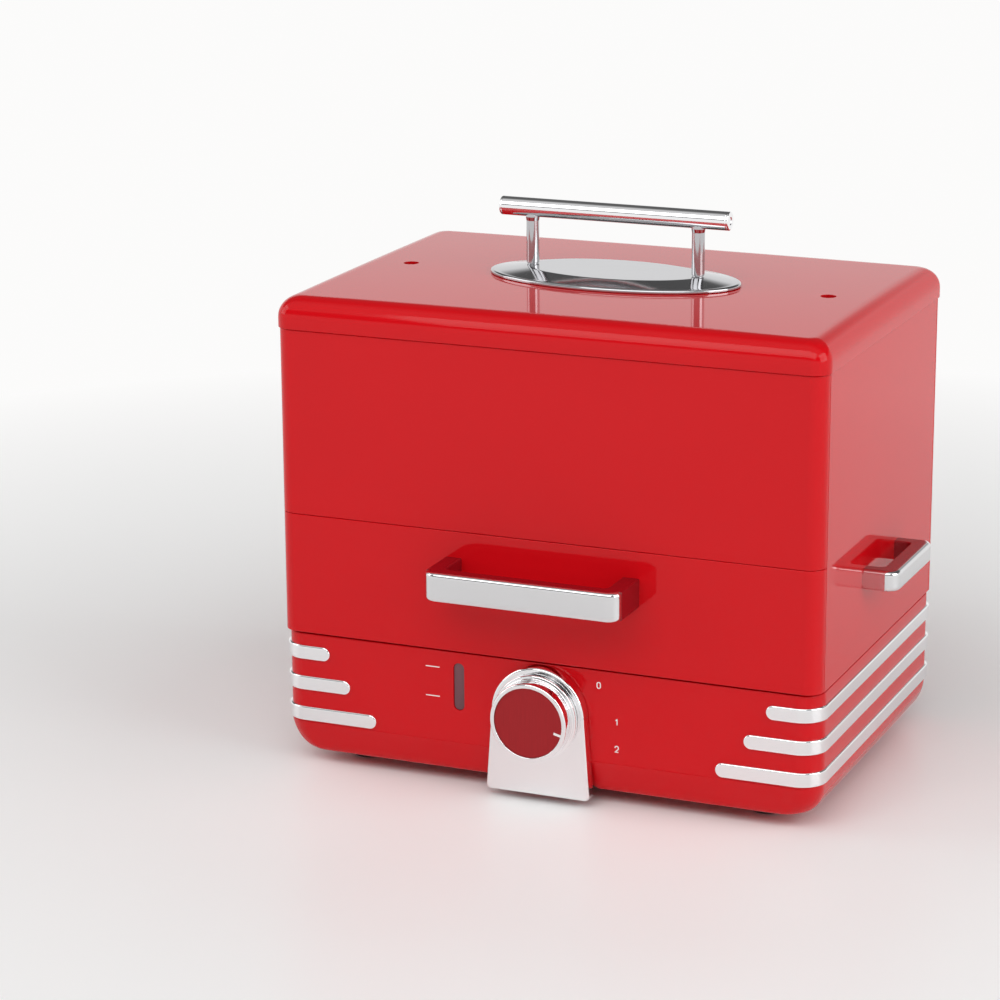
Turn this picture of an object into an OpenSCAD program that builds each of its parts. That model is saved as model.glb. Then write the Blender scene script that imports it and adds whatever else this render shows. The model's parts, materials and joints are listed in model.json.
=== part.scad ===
// Hot dog steamer for a counter top: a base with its water well and heater, a lift-off
// cabinet with a bun drawer, two stacked trays and a lift-off lid.
// Millimetres. +Z is up, the drawer faces -Y, and the origin is on the counter under
// the middle of the whole outline.

/* [Cabinet] */
// Width of the cabinet
body_w = 340; // [320:1:380]
// Depth of the cabinet
body_d = 234; // [224:1:260]
// Height of the cabinet walls
cabinet_h = 186.7; // [175:0.1:210]
// Plan radius of the cabinet corners
corner_r = 10; // [8:0.5:12]
// Thickness of the moulded walls
wall = 3; // [2.4:0.1:3.4]
// Gap at the upright seams between panels
panel_gap = 0.4; // [0.3:0.1:0.6]
// Gap above and below the drawer front
drawer_gap = 0.8; // [0.6:0.1:1]
// Height of the drawer opening above the cabinet's lower edge
drawer_h = 74; // [70:1:84]
// Thickness of the shelf and of the lower frame
shelf_t = 3; // [2.4:0.2:4]
// Width of the rim that the shelf and the lower frame leave round their openings
shelf_rim = 18; // [16:1:24]
// Extra plan radius on the corners of pieces inside the cabinet
corner_ease = 1; // [0.5:0.1:2]
// Radius of the pads under the lower frame
frame_pad_r = 6; // [5:0.5:8]
// Clearance under and around the pieces that lift out
seat_gap = 0.3; // [0.2:0.1:0.4]

/* [Base] */
// Height of the base housing
base_h = 79.2; // [76:0.1:90]
// How far the base stands in from the cabinet walls
base_inset = 1.5; // [1:0.1:2]
// Radius of the base's lower edges
base_edge_r = 23; // [18:0.5:23]
// Thickness of the base's floor
base_floor = 5; // [4:0.5:6]
// Gap between base and cabinet
base_gap = 0.8; // [0.5:0.1:1.2]
// Height of the foot and its pad together
foot_h = 5; // [4:0.5:8]
// Radius of a foot
foot_r = 11.5; // [9:0.5:12]
// Middle of a foot from the side of the cabinet
foot_in_x = 41; // [38:1:50]
// Middle of a foot from the front and back of the cabinet
foot_in_y = 37; // [36.5:0.5:46]
// Radius of the rubber pad in a foot
pad_r = 9; // [6:0.5:10]
// Thickness of the rubber pad
pad_t = 3; // [2:0.2:3.6]
// How deep the pad sits in its foot
pad_sunk = 1; // [0.6:0.1:1.4]
// Width of the bottom plate
plate_w = 210; // [180:1:220]
// Depth of the bottom plate
plate_d = 150; // [130:1:152]
// Thickness of the bottom plate
plate_t = 2.5; // [2:0.1:3]
// Width of the ledge that the bottom plate screws to
plate_ledge = 12; // [11:0.5:14]
// Shank radius of the screws
screw_r = 1.7; // [1.4:0.1:2]
// Head radius of the screws
screw_head_r = 3.2; // [2.8:0.1:3.6]
// Head height of the screws
screw_head_h = 1.8; // [1.4:0.1:2]
// How far the bottom plate screws reach past the plate
base_screw_len = 11; // [8:0.5:12]
// Radius of the bosses that the bottom plate screws enter
boss_r = 5; // [4:0.1:5.4]
// Solid end of those bosses
boss_end = 2; // [1:0.5:3]
// Radius of the cord gland's bore
gland_bore_r = 3.7; // [3:0.1:4.5]
// Radius of the cord gland's body
gland_r = 7; // [6:0.5:8]
// Radius of the cord gland's flanges
gland_flange_r = 9; // [8.5:0.5:11]
// Thickness of the cord gland's outer flange
gland_flange_t = 2; // [1.5:0.1:2.4]
// Thickness of the cord gland's inner nut
gland_nut_t = 3; // [2:0.5:5]
// Cord gland from the middle of the back, to the right seen from the front
gland_x = 95; // [60:1:110]
// Height of the cord gland above the counter
gland_z = 43; // [42:1:52]

/* [Stripes] */
// Height of a stripe
stripe_h = 9; // [8:0.5:10]
// How far a stripe stands out
stripe_t = 2.5; // [1.5:0.1:2.5]
// Middle of the upper stripe below the top of the base
stripe_drop = 11.7; // [9:0.1:12]
// Height from one stripe to the next
stripe_pitch = 19.5; // [17:0.5:19.5]
// Reach of the upper stripe along the front, from the cabinet's side
stripe_reach_upper = 31.7; // [28:0.1:60]
// Reach of the middle stripe along the front
stripe_reach_middle = 45; // [28:0.1:70]
// Reach of the lower stripe along the front
stripe_reach_lower = 62; // [28:0.1:80]
// Reach of every stripe along the back
stripe_reach_back = 28; // [24:1:60]

/* [Dial] */
// Height of the dial's axis above the counter
dial_z = 54.5; // [52:0.5:56]
// Radius of the dial plate's arch
dial_r = 29.5; // [27:0.5:30]
// Half width of the dial plate at its foot
dial_foot_half = 33; // [30:0.5:38]
// Thickness of the dial plate
dial_t = 9; // [9:0.5:14]
// Corner cut at the foot of the dial plate
dial_cut = 2; // [1:0.5:5]
// Half width of the block behind the dial plate's foot
dial_back_half = 20; // [16:0.5:26]
// Radius of the knob's barrel
knob_r = 24; // [20:0.5:25]
// Radius of the knob's skirt
knob_skirt_r = 26; // [25.5:0.5:27]
// Length of the knob's skirt
knob_skirt_t = 3.6; // [2:0.2:5]
// Length of the whole knob
knob_len = 14; // [10:0.5:14]
// Width of the rim round the knob's face
knob_rim = 2.7; // [2:0.1:4]
// Depth of the knob's face below its rim
knob_dish = 0.3; // [0.2:0.1:0.6]
// Thickness of the knob's face
knob_face_t = 1.2; // [0.8:0.1:2]
// Running gap behind the knob
knob_gap = 0.4; // [0.3:0.1:1]
// Length of the pointer
pointer_len = 4; // [3:0.5:8]
// Width of the pointer
pointer_w = 1.5; // [1:0.1:2.5]
// Thickness of the pointer
pointer_t = 0.3; // [0.2:0.05:0.5]
// Space between the pointer and the edge of the face
pointer_edge = 0.5; // [0.5:0.1:3]
// Angle of the pointer below the level, as the knob stands
pointer_angle = 15; // [10:1:30]
// Radius of the thermostat's shaft
shaft_r = 3; // [2.5:0.1:3.2]
// Running clearance round the shaft
shaft_fit = 0.05; // [0.02:0.01:0.09]
// Radius of the thermostat's threaded bush
bush_r = 5; // [4.5:0.1:5.5]
// Radius of the thermostat's body
thermostat_r = 18; // [15:0.5:19]
// Depth of the thermostat's body
thermostat_d = 20; // [14:0.5:22]
// Thickness of the thermostat's bracket
bracket_t = 2; // [1.5:0.1:3]
// Width and height of the thermostat's bracket
bracket_w = 40; // [38:1:44]
// Corner radius of the thermostat's nut
nut_r = 8; // [7.5:0.1:8.5]
// Room round the thermostat's nut
nut_room = 1; // [0.5:0.1:2]
// Thickness of the thermostat's nut
nut_t = 4; // [3:0.1:4.5]
// Width of the thermostat's terminal strip
strip_w = 24; // [20:1:30]
// Depth of the thermostat's terminal strip
strip_d = 10; // [8:0.5:12]
// How far the terminal strip hangs below the axis
strip_drop = 22.5; // [20:0.5:24]
// Terminal strip behind the bracket
strip_back = 3; // [1:0.5:5]
// Metal left in front of and behind the shaft
shaft_web = 2; // [1.5:0.1:3]

/* [Water gauge] */
// Width of the gauge's window
gauge_w = 7; // [6:0.5:9]
// Height of the gauge's window
gauge_h = 29.6; // [26:0.1:32]
// Middle of the window from the middle of the front
gauge_x = 53.7; // [48:0.1:62]
// Upper end of the window below the top of the base
gauge_drop = 6.5; // [6.5:0.1:9]
// How far the window sits back from the front
gauge_recess = 0.8; // [0.4:0.1:1.2]
// Rim of the gauge's flange round the window
gauge_rim = 2; // [1.6:0.1:2.4]
// Room round the gauge's flange in the ledge behind it
gauge_room = 1; // [0.5:0.1:1.5]
// Thickness of the gauge's flange
gauge_flange_t = 2; // [1.5:0.1:3]
// Thickness of the gauge's gasket
gasket_t = 1.5; // [1:0.1:2.5]
// Depth of the chamber behind the gasket
gauge_depth = 12; // [9:0.5:14]
// Wall of the chamber
gauge_wall = 1.5; // [1.2:0.1:2]
// Outer radius of the gauge's pipe
pipe_r = 4; // [3.5:0.1:4.5]
// Bore radius of the gauge's pipe
pipe_bore_r = 2.5; // [2:0.1:3]
// Height of the pipe above the floor of the well
pipe_rise = 24; // [22:0.5:26]

/* [Water well] */
// Width of the well
well_w = 262; // [240:1:280]
// Depth of the well from front to back
well_d = 150; // [140:1:160]
// Middle of the well behind the middle of the base
well_y = 20; // [15:0.5:24]
// Height of the well below its flange's top
well_h = 56; // [52:0.5:58]
// Plan radius of the well's corners
well_r = 14; // [8:0.5:20]
// Sheet thickness of the well and the trays
sheet = 2; // [1.5:0.1:2.4]
// Depth of the flange's top below the top of the base
flange_drop = 1.2; // [1:0.1:1.8]
// Width of the ledge under the flange
flange_ledge = 5; // [4:0.5:7]
// Depth of the ledge under the flange
flange_ledge_t = 4; // [3:0.5:6]
// Gap round the flange
flange_gap = 0.6; // [0.3:0.1:0.9]
// Radius of the heater's tube
heater_r = 3.5; // [3:0.1:4]
// Bend radius of the heater's tube
heater_bend = 12; // [10:0.5:14]
// Height of the heater above the floor of the well
heater_rise = 10; // [7:0.5:12]
// Half distance between the heater's tails
heater_tail_x = 16; // [13:0.5:20]
// Distance of the heater's loop from the sides of the well
heater_in = 34; // [30:1:40]
// Distance of the heater's loop from the front of the well
heater_in_front = 30; // [26:1:36]
// Distance of the heater's loop from the back of the well
heater_in_back = 24; // [18:1:36]
// Length of the heater's tails outside the well
heater_tail = 17; // [14:0.5:18]
// Radius of the heater's seals in the wall
seal_r = 5; // [4.6:0.1:6]
// Radius of the flange on the heater's seals
seal_flange_r = 7.5; // [7:0.1:8.5]
// Thickness of the flange on the heater's seals
seal_flange_t = 2; // [1.5:0.1:3]
// Corner radius of the heater's nuts
heater_nut_r = 7; // [6.6:0.1:8]
// Thickness of the heater's nuts
heater_nut_t = 5; // [3:0.5:7]
// Radius of the wires
lead_r = 1.5; // [1:0.1:2]
// Bend radius of the wires
lead_bend = 8; // [6:0.5:9]
// Half distance between the thermostat's wires
lead_x = 6; // [4:0.5:9]
// Width of the terminal block
block_w = 44; // [42:1:56]
// Depth of the terminal block
block_d = 16; // [12:0.5:20]
// Height of the terminal block
block_h = 12; // [10:0.5:13]
// Front of the terminal block behind the middle of the base
block_y = 30; // [20:1:36]
// Width of the thermal cut-off under the well
cutoff_w = 20; // [16:1:26]
// Depth of the thermal cut-off
cutoff_d = 14; // [10:1:18]
// Height of the thermal cut-off
cutoff_h = 8; // [6:0.5:9]
// Thermal cut-off from the middle of the base, to the left seen from the front
cutoff_x = 60; // [45:1:80]

/* [Drawer] */
// Height of the bun tray
bun_h = 45; // [36:1:50]
// Gap between the bun tray and its runners' webs
bun_gap = 0.7; // [0.4:0.1:1]
// Space behind the bun tray
bun_back = 14; // [12:1:30]
// Plan radius of the bun tray's corners
bun_r = 9; // [9:0.5:13]
// Height of the runners above the cabinet's lower edge
runner_z = 7; // [6:0.5:10]
// Thickness of a runner
runner_t = 3; // [2:0.2:4]
// Width of a runner's ledge
runner_w = 11; // [8:0.5:14]
// Height of a runner's web
runner_h = 14; // [10:0.5:18]
// Space in front of and behind a runner
runner_end = 12; // [11:0.5:16]
// Radius of the bun tray's steam holes
bun_hole_r = 5; // [3:0.5:7]
// Distance between the bun tray's steam holes
bun_hole_pitch = 36; // [30:1:48]

/* [Handles] */
// Half length of the drawer handle
pull_half = 61; // [52:0.5:72]
// Reach of the drawer handle
pull_reach = 35; // [28:0.5:38]
// Height of the drawer handle
pull_h = 17.5; // [14:0.5:22]
// Underside of the drawer handle above the cabinet's lower edge
pull_z = 41; // [30:0.5:48]
// Half length of a side handle
lug_half = 38; // [32:0.5:48]
// Reach of a side handle
lug_reach = 21.5; // [20:0.5:26]
// Height of a side handle
lug_h = 12; // [10:0.5:16]
// Underside of a side handle above the cabinet's lower edge
lug_z = 42; // [30:0.5:80]
// Thickness of the handles' bars
bar_t = 11; // [10:0.5:12]
// Width of the handles' arms
arm_w = 10.5; // [9.5:0.5:13]
// Thickness of the handles' trim
trim_t = 2; // [1.5:0.1:2.5]
// How far the trim wraps back along the arms
trim_wrap = 9.5; // [9:0.1:10]
// Outer corner radius of the handles
handle_r = 8; // [7:0.5:9]
// How deep the screws reach into the handles' arms
arm_screw_len = 9; // [6:0.5:9.5]
// Room round the screw heads behind the drawer front
head_room = 1; // [0.5:0.1:2]

/* [Trays] */
// Gap between the trays and the cabinet walls
tray_gap = 7; // [6.5:0.5:9]
// Plan radius of the trays' corners
tray_r = 12; // [10:0.5:16]
// Height of the juice tray
juice_h = 15; // [12:0.5:20]
// Height of the hot dog tray
dog_h = 57; // [45:1:70]
// Least metal between a row of holes and the edge
hole_edge = 3; // [2:0.5:5]
// Outer radius of a steam chimney
chimney_r = 9; // [8.5:0.5:11]
// Bore radius of a steam chimney
chimney_bore_r = 7; // [5:0.5:8]
// Height of a steam chimney above the juice tray's underside
chimney_h = 9; // [7:0.5:11]
// Distance between steam chimneys
chimney_pitch = 56; // [50:1:70]
// Length of a steam slot in the hot dog tray
slot_len = 30; // [20:1:36]
// Width of a steam slot
slot_w = 7; // [5:0.5:9]
// Distance between steam slots, along and across
slot_pitch = 44; // [40:1:60]
// Radius of the finger notches in the hot dog tray's ends
notch_r = 18; // [12:1:24]

/* [Lid] */
// Height of the lid
lid_h = 20; // [18:0.5:24]
// How far the lid stands out past the walls
lid_over = 1; // [1:0.1:1.5]
// Radius of the lid's upper edges
lid_edge_r = 14; // [10:0.5:15]
// Depth of the lip that locates the lid
lip_h = 6; // [4:0.5:10]
// Thickness of the lip
lip_t = 2.4; // [2:0.1:3]
// Gap between lip and walls
lip_gap = 0.6; // [0.4:0.1:1]
// Height of the web that joins lip and lid
web_h = 3; // [2:0.5:4]
// Radius of the steam vents
vent_r = 4.75; // [3:0.25:6]
// Vents from the middle of the lid
vent_x = 134; // [110:1:144]
// Half length of the handle's oval plate
oval_half = 79; // [70:1:90]
// Half width of the oval plate
oval_wide = 40; // [30:1:44]
// Height of the oval plate's rim
oval_rim = 2.5; // [2:0.1:3]
// Rise of the oval plate's dome
oval_rise = 3; // [2:0.1:4]
// Half distance between the handle's posts
post_x = 53; // [46:0.5:58]
// Radius of a post
post_r = 3.8; // [2.8:0.1:4]
// Radius of a post's collar
collar_r = 4.6; // [4.2:0.1:5.4]
// Height of a post's collar
collar_h = 2.5; // [1.5:0.1:4]
// Radius of a post's stud
stud_r = 2; // [1.5:0.1:2.4]
// Clearance round a stud
stud_fit = 0.1; // [0.05:0.05:0.3]
// How far a stud reaches past its nut
stud_end = 1; // [0.5:0.1:2]
// How deep a post reaches into the bar
post_sink = 3.7; // [2:0.1:4]
// Height of the bar's axis above the lid
bar_rise = 39.8; // [34:0.1:48]
// Radius of the bar
bar_r = 5.7; // [5:0.1:7]
// Half length of the bar
bar_half = 71.5; // [64:0.5:90]
// Thickness of the bar's end caps
cap_t = 1.5; // [1:0.1:3]
// Radius of the end caps' spigots
spigot_r = 4; // [3:0.1:4.4]
// Length of the end caps' spigots
spigot_len = 6; // [4:0.5:10]
// Corner radius of the nuts under the lid
lid_nut_r = 4; // [3.6:0.1:5]
// Thickness of the nuts under the lid
lid_nut_t = 3.2; // [2:0.1:4]

/* [Hidden] */
$fn = 64;
big_fn = 360;
oval_sides = 72;
past = 1;
red = "crimson";
handle_red = "darkred";
chrome = "gainsboro";
metal = "silver";

// Levels, from the counter up
base_top = foot_h + base_h;
cabinet_z = base_top + base_gap;
wall_top = cabinet_z + cabinet_h;
drawer_bottom = cabinet_z + drawer_gap / 2;
drawer_top = cabinet_z + drawer_h - drawer_gap / 2;
upper_bottom = cabinet_z + drawer_h + drawer_gap / 2;
shelf_z = upper_bottom + drawer_gap / 2;
shelf_top = shelf_z + shelf_t;
lid_z = wall_top + seat_gap;
lid_top = lid_z + lid_h;
flange_top = base_top - flange_drop;
well_bottom = flange_top - well_h;
well_floor = well_bottom + sheet;

// Plan sizes
base_w = body_w - 2 * base_inset;
base_d = body_d - 2 * base_inset;
base_r = corner_r - base_inset;
base_front = -base_d / 2;
inner_w = body_w - 2 * wall;
inner_d = body_d - 2 * wall;
inner_r = corner_r - wall;
tray_w = inner_w - 2 * tray_gap;
tray_d = inner_d - 2 * tray_gap;

// The outline's middle from front to back, which the origin stands under
front_reach = body_d / 2 + pull_reach;
back_reach = body_d / 2 + max(lid_over, stripe_t - base_inset, gland_flange_t - base_inset);
y_mid = (front_reach - back_reach) / 2;

// Dial and thermostat, from the front backwards
dial_front = base_front - dial_t;
knob_back = dial_front - knob_gap;
knob_front = knob_back - knob_len;
knob_floor = knob_front + knob_dish + knob_face_t;
face_r = knob_r - knob_rim;
base_inside = base_front + wall;
bracket_back = base_inside + bracket_t;
thermostat_back = bracket_back + thermostat_d;
bush_front = base_front - nut_t;
shaft_front = knob_floor + shaft_web;
shaft_back = thermostat_back - shaft_web;
strip_front = bracket_back + strip_back;
strip_bottom = dial_z - strip_drop;

// Water gauge, from the front backwards
gauge_z = base_top - gauge_drop - gauge_h / 2;
gauge_flange_w = gauge_w + 2 * gauge_rim;
gauge_flange_h = gauge_h + 2 * gauge_rim;
gauge_flange_back = base_inside + gauge_flange_t;
gasket_back = gauge_flange_back + gasket_t;
chamber_back = gasket_back + gauge_depth;
pipe_z = well_floor + pipe_rise;

// Water well and heater
well_front = well_y - well_d / 2;
heater_z = well_floor + heater_rise;
heater_half = well_w / 2 - heater_in;
heater_front = well_front + heater_in_front;
heater_back = well_front + well_d - heater_in_back;
tail_front = well_front - heater_tail;
lead_z = foot_h + plate_t + block_h / 2;

// Drawer
runner_x = inner_w / 2;
runner_web_x = runner_x - runner_t;
bun_half = runner_web_x - bun_gap;
runner_top = cabinet_z + runner_z + runner_t;
bun_z = runner_top + seat_gap;
bun_front = -body_d / 2 + wall;
bun_rear = inner_d / 2 - bun_back;

// Trays
juice_z = shelf_top;
dog_z = juice_z + juice_h;
ledge_w = inner_w - 2 * shelf_rim;
ledge_d = inner_d - 2 * shelf_rim;

// Lid handle
plate_z = lid_top;
seat_z = plate_z + oval_rim;
bar_z = lid_top + bar_rise;
post_top = bar_z - bar_r + post_sink;

// Everything is drawn about the middle of the cabinet and then moved over the origin
module placed() {
    translate([0, y_mid, 0])
        children();
}

// Outline drawn in X and Z, given depth from y0 back to y1
module slab_y(y0, y1) {
    translate([0, y1, 0])
        rotate([90, 0, 0])
            linear_extrude(height = y1 - y0)
                children();
}

// Outline drawn in Y and Z, given width from x0 to x1
module slab_x(x0, x1) {
    translate([x0, 0, 0])
        rotate([90, 0, 90])
            linear_extrude(height = x1 - x0)
                children();
}

module slab_z(z0, z1) {
    translate([0, 0, z0])
        linear_extrude(height = z1 - z0)
            children();
}

module rod_y(x, z, r, y0, y1) {
    translate([x, y0, z])
        rotate([-90, 0, 0])
            cylinder(r = r, h = y1 - y0);
}

module rod_x(y, z, r, x0, x1) {
    translate([x0, y, z])
        rotate([0, 90, 0])
            cylinder(r = r, h = x1 - x0);
}

module rod_z(x, y, r, z0, z1) {
    translate([x, y, z0])
        cylinder(r = r, h = z1 - z0);
}

module hex_y(x, z, r, y0, y1) {
    translate([x, y0, z])
        rotate([-90, 0, 0])
            cylinder(r = r, h = y1 - y0, $fn = 6);
}

module rounded_rect(w, d, r) {
    square([w - 2 * r, d], center = true);
    square([w, d - 2 * r], center = true);
    for (sx = [-1, 1], sy = [-1, 1])
        translate([sx * (w / 2 - r), sy * (d / 2 - r)])
            circle(r);
}

// Upright slot with round ends
module slot_outline(w, h) {
    square([w, h - w], center = true);
    for (s = [-1, 1])
        translate([0, s * (h - w) / 2])
            circle(w / 2);
}

// Outline standing on the axis, its two lower corners rounded
module low_rounded(w, h, r) {
    translate([-w / 2 + r, 0])
        square([w - 2 * r, h]);
    translate([-w / 2, r])
        square([w, h - r]);
    for (s = [-1, 1])
        translate([s * (w / 2 - r), r])
            circle(r);
}

// Outline standing on the axis, its two upper corners rounded
module high_rounded(w, h, r) {
    translate([-w / 2 + r, 0])
        square([w - 2 * r, h]);
    translate([-w / 2, 0])
        square([w, h - r]);
    for (s = [-1, 1])
        translate([s * (w / 2 - r), h - r])
            circle(r);
}

// Block with rounded lower edges and rounded upright corners
module tub_block(w, d, z0, z1, edge_r, plan_r) {
    intersection() {
        slab_y(-d / 2 - past, d / 2 + past)
            translate([0, z0])
                low_rounded(w, z1 - z0, edge_r);
        slab_x(-w / 2 - past, w / 2 + past)
            translate([0, z0])
                low_rounded(d, z1 - z0, edge_r);
        slab_z(z0, z1)
            rounded_rect(w, d, plan_r);
    }
}

// Block with rounded upper edges and rounded upright corners
module cap_block(w, d, z0, z1, edge_r, plan_r) {
    intersection() {
        slab_y(-d / 2 - past, d / 2 + past)
            translate([0, z0])
                high_rounded(w, z1 - z0, edge_r);
        slab_x(-w / 2 - past, w / 2 + past)
            translate([0, z0])
                high_rounded(d, z1 - z0, edge_r);
        slab_z(z0, z1)
            rounded_rect(w, d, plan_r);
    }
}

// Flat panel whose two ends wrap round the cabinet's corners; side -1 is the front
module wrapped_panel(side, z0, z1) {
    rotate([0, 0, side < 0 ? 0 : 180])
        translate([0, 0, z0]) {
            translate([-body_w / 2 + corner_r, -body_d / 2, 0])
                cube([body_w - 2 * corner_r, wall, z1 - z0]);
            for (s = [-1, 1])
                translate([s * (body_w / 2 - corner_r), -body_d / 2 + corner_r, 0])
                    rotate([0, 0, s > 0 ? -90 : 180])
                        rotate_extrude(angle = 90)
                            translate([corner_r - wall, 0])
                                square([wall, z1 - z0]);
        }
}

// Open tray of sheet metal: floor and walls, standing at z
module open_tray(w, d, z, h, r) {
    difference() {
        slab_z(z, z + h)
            rounded_rect(w, d, r);
        slab_z(z + sheet, z + h + past)
            rounded_rect(w - 2 * sheet, d - 2 * sheet, r - sheet);
    }
}

// Base

module base_screw_places() {
    for (sx = [-1, 1], sy = [-1, 1])
        translate([sx * (plate_w / 2 - plate_ledge / 2), sy * (plate_d / 2 - plate_ledge / 2), 0])
            children();
}

module foot_places() {
    for (sx = [-1, 1], sy = [-1, 1])
        translate([sx * (body_w / 2 - foot_in_x), sy * (body_d / 2 - foot_in_y), 0])
            children();
}

module base_shell() {
    difference() {
        union() {
            tub_block(base_w, base_d, foot_h, base_top, base_edge_r, base_r);
            // solid backing for the foot of the dial plate
            translate([-dial_back_half, base_front, foot_h])
                cube([2 * dial_back_half, base_edge_r, base_edge_r]);
        }
        tub_block(base_w - 2 * wall, base_d - 2 * wall, foot_h + base_floor, base_top + past,
            base_edge_r - wall, base_r - wall);
    }
    // ledge under the well's flange, with a gap for the gauge
    difference() {
        slab_z(flange_top - sheet - flange_ledge_t, flange_top - sheet)
            rounded_rect(base_w - 2 * wall, base_d - 2 * wall, base_r - wall);
        slab_z(flange_top - sheet - flange_ledge_t - past, flange_top - sheet + past)
            square([base_w - 2 * wall - 2 * flange_ledge, base_d - 2 * wall - 2 * flange_ledge],
                center = true);
        translate([-gauge_x - gauge_flange_w / 2 - gauge_room, base_inside, 0])
            cube([gauge_flange_w + 2 * gauge_room, flange_ledge + past, base_top]);
    }
    // bosses for the bottom plate's screws
    base_screw_places()
        rod_z(0, 0, boss_r, foot_h + base_floor, foot_h + plate_t + base_screw_len + boss_end);
}

module base_housing() {
    color(red)
        placed()
            difference() {
                base_shell();
                slab_z(foot_h - past, foot_h + plate_t)
                    square([plate_w, plate_d], center = true);
                slab_z(foot_h - past, foot_h + base_floor + past)
                    square([plate_w - 2 * plate_ledge, plate_d - 2 * plate_ledge], center = true);
                base_screw_places()
                    rod_z(0, 0, screw_r, foot_h, foot_h + plate_t + base_screw_len);
                rod_y(0, dial_z, bush_r, base_front - past, base_inside + past);
                slab_y(base_front - past, base_inside + past)
                    translate([-gauge_x, gauge_z])
                        slot_outline(gauge_w, gauge_h);
                rod_y(gland_x, gland_z, gland_r, base_d / 2 - wall - past, base_d / 2 + past);
            }
}

module base_bottom_plate() {
    color("dimgray")
        placed()
            difference() {
                slab_z(foot_h, foot_h + plate_t)
                    square([plate_w, plate_d], center = true);
                base_screw_places()
                    rod_z(0, 0, screw_r, foot_h - past, foot_h + plate_t + past);
            }
}

module base_screws() {
    color(metal)
        placed()
            base_screw_places() {
                rod_z(0, 0, screw_r, foot_h, foot_h + plate_t + base_screw_len);
                rod_z(0, 0, screw_head_r, foot_h - screw_head_h, foot_h);
            }
}

module feet() {
    color("firebrick")
        placed()
            foot_places()
                difference() {
                    rod_z(0, 0, foot_r, pad_t - pad_sunk, foot_h);
                    rod_z(0, 0, pad_r, 0, pad_t);
                }
}

module foot_pads() {
    color("black")
        placed()
            foot_places()
                rod_z(0, 0, pad_r, 0, pad_t);
}

// Stripe on the right: front run, corner, side run, corner and back run
module stripe(reach, rank) {
    z_mid = base_top - stripe_drop - rank * stripe_pitch;
    side_x = base_w / 2 - base_r;
    front_end = body_w / 2 - reach + stripe_h / 2;
    back_end = body_w / 2 - stripe_reach_back + stripe_h / 2;
    translate([0, 0, z_mid]) {
        slab_y(base_front - stripe_t, base_front)
            stripe_run(front_end, side_x);
        slab_y(-base_front, -base_front + stripe_t)
            stripe_run(back_end, side_x);
        for (s = [-1, 1])
            translate([side_x, s * (base_d / 2 - base_r), -stripe_h / 2])
                rotate([0, 0, s < 0 ? -90 : 0])
                    rotate_extrude(angle = 90)
                        translate([base_r, 0])
                            square([stripe_t, stripe_h]);
        translate([base_w / 2, -base_d / 2 + base_r, -stripe_h / 2])
            cube([stripe_t, base_d - 2 * base_r, stripe_h]);
    }
}

module stripe_run(x0, x1) {
    translate([x0, -stripe_h / 2])
        square([x1 - x0, stripe_h]);
    translate([x0, 0])
        circle(stripe_h / 2);
}

module right_stripe(reach, rank) {
    color(chrome)
        placed()
            stripe(reach, rank);
}

module left_stripe(reach, rank) {
    color(chrome)
        placed()
            mirror([1, 0, 0])
                stripe(reach, rank);
}

module stripe_left_upper() {
    left_stripe(stripe_reach_upper, 0);
}

module stripe_left_middle() {
    left_stripe(stripe_reach_middle, 1);
}

module stripe_left_lower() {
    left_stripe(stripe_reach_lower, 2);
}

module stripe_right_upper() {
    right_stripe(stripe_reach_upper, 0);
}

module stripe_right_middle() {
    right_stripe(stripe_reach_middle, 1);
}

module stripe_right_lower() {
    right_stripe(stripe_reach_lower, 2);
}

// Arch on the dial's axis over a foot that flares to the base's lower edge
module dial_outline() {
    translate([0, dial_z])
        circle(dial_r);
    polygon([
        [-dial_r, dial_z],
        [-dial_foot_half, foot_h + dial_cut],
        [-dial_foot_half + dial_cut, foot_h],
        [dial_foot_half - dial_cut, foot_h],
        [dial_foot_half, foot_h + dial_cut],
        [dial_r, dial_z]
    ]);
}

module dial_plate() {
    color(chrome)
        placed()
            difference() {
                slab_y(dial_front, base_front)
                    dial_outline();
                rod_y(0, dial_z, nut_r + nut_room, dial_front - past, base_front + past);
            }
}

module gauge_window() {
    color("slategray", 0.6)
        placed()
            translate([-gauge_x, 0, gauge_z]) {
                slab_y(base_front + gauge_recess, base_inside)
                    slot_outline(gauge_w, gauge_h);
                slab_y(base_inside, gauge_flange_back)
                    square([gauge_flange_w, gauge_flange_h], center = true);
            }
}

module gauge_gasket() {
    color("black")
        placed()
            translate([-gauge_x, 0, gauge_z])
                slab_y(gauge_flange_back, gasket_back)
                    difference() {
                        square([gauge_flange_w, gauge_flange_h], center = true);
                        slot_outline(gauge_w, gauge_h);
                    }
}

module gauge_chamber() {
    inside_w = gauge_flange_w - 2 * gauge_wall;
    inside_h = gauge_flange_h - 2 * gauge_wall;
    color("whitesmoke")
        placed()
            difference() {
                translate([-gauge_x, 0, gauge_z])
                    slab_y(gasket_back, chamber_back)
                        square([gauge_flange_w, gauge_flange_h], center = true);
                translate([-gauge_x, 0, gauge_z])
                    slab_y(gasket_back - past, chamber_back - gauge_wall)
                        square([inside_w, inside_h], center = true);
                rod_y(-gauge_x, pipe_z, pipe_r, chamber_back - gauge_wall - past, chamber_back + past);
            }
}

module gauge_pipe() {
    color("whitesmoke")
        placed()
            difference() {
                rod_y(-gauge_x, pipe_z, pipe_r, chamber_back - gauge_wall, well_front + sheet);
                rod_y(-gauge_x, pipe_z, pipe_bore_r, chamber_back - gauge_wall - past,
                    well_front + sheet + past);
            }
}

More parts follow.
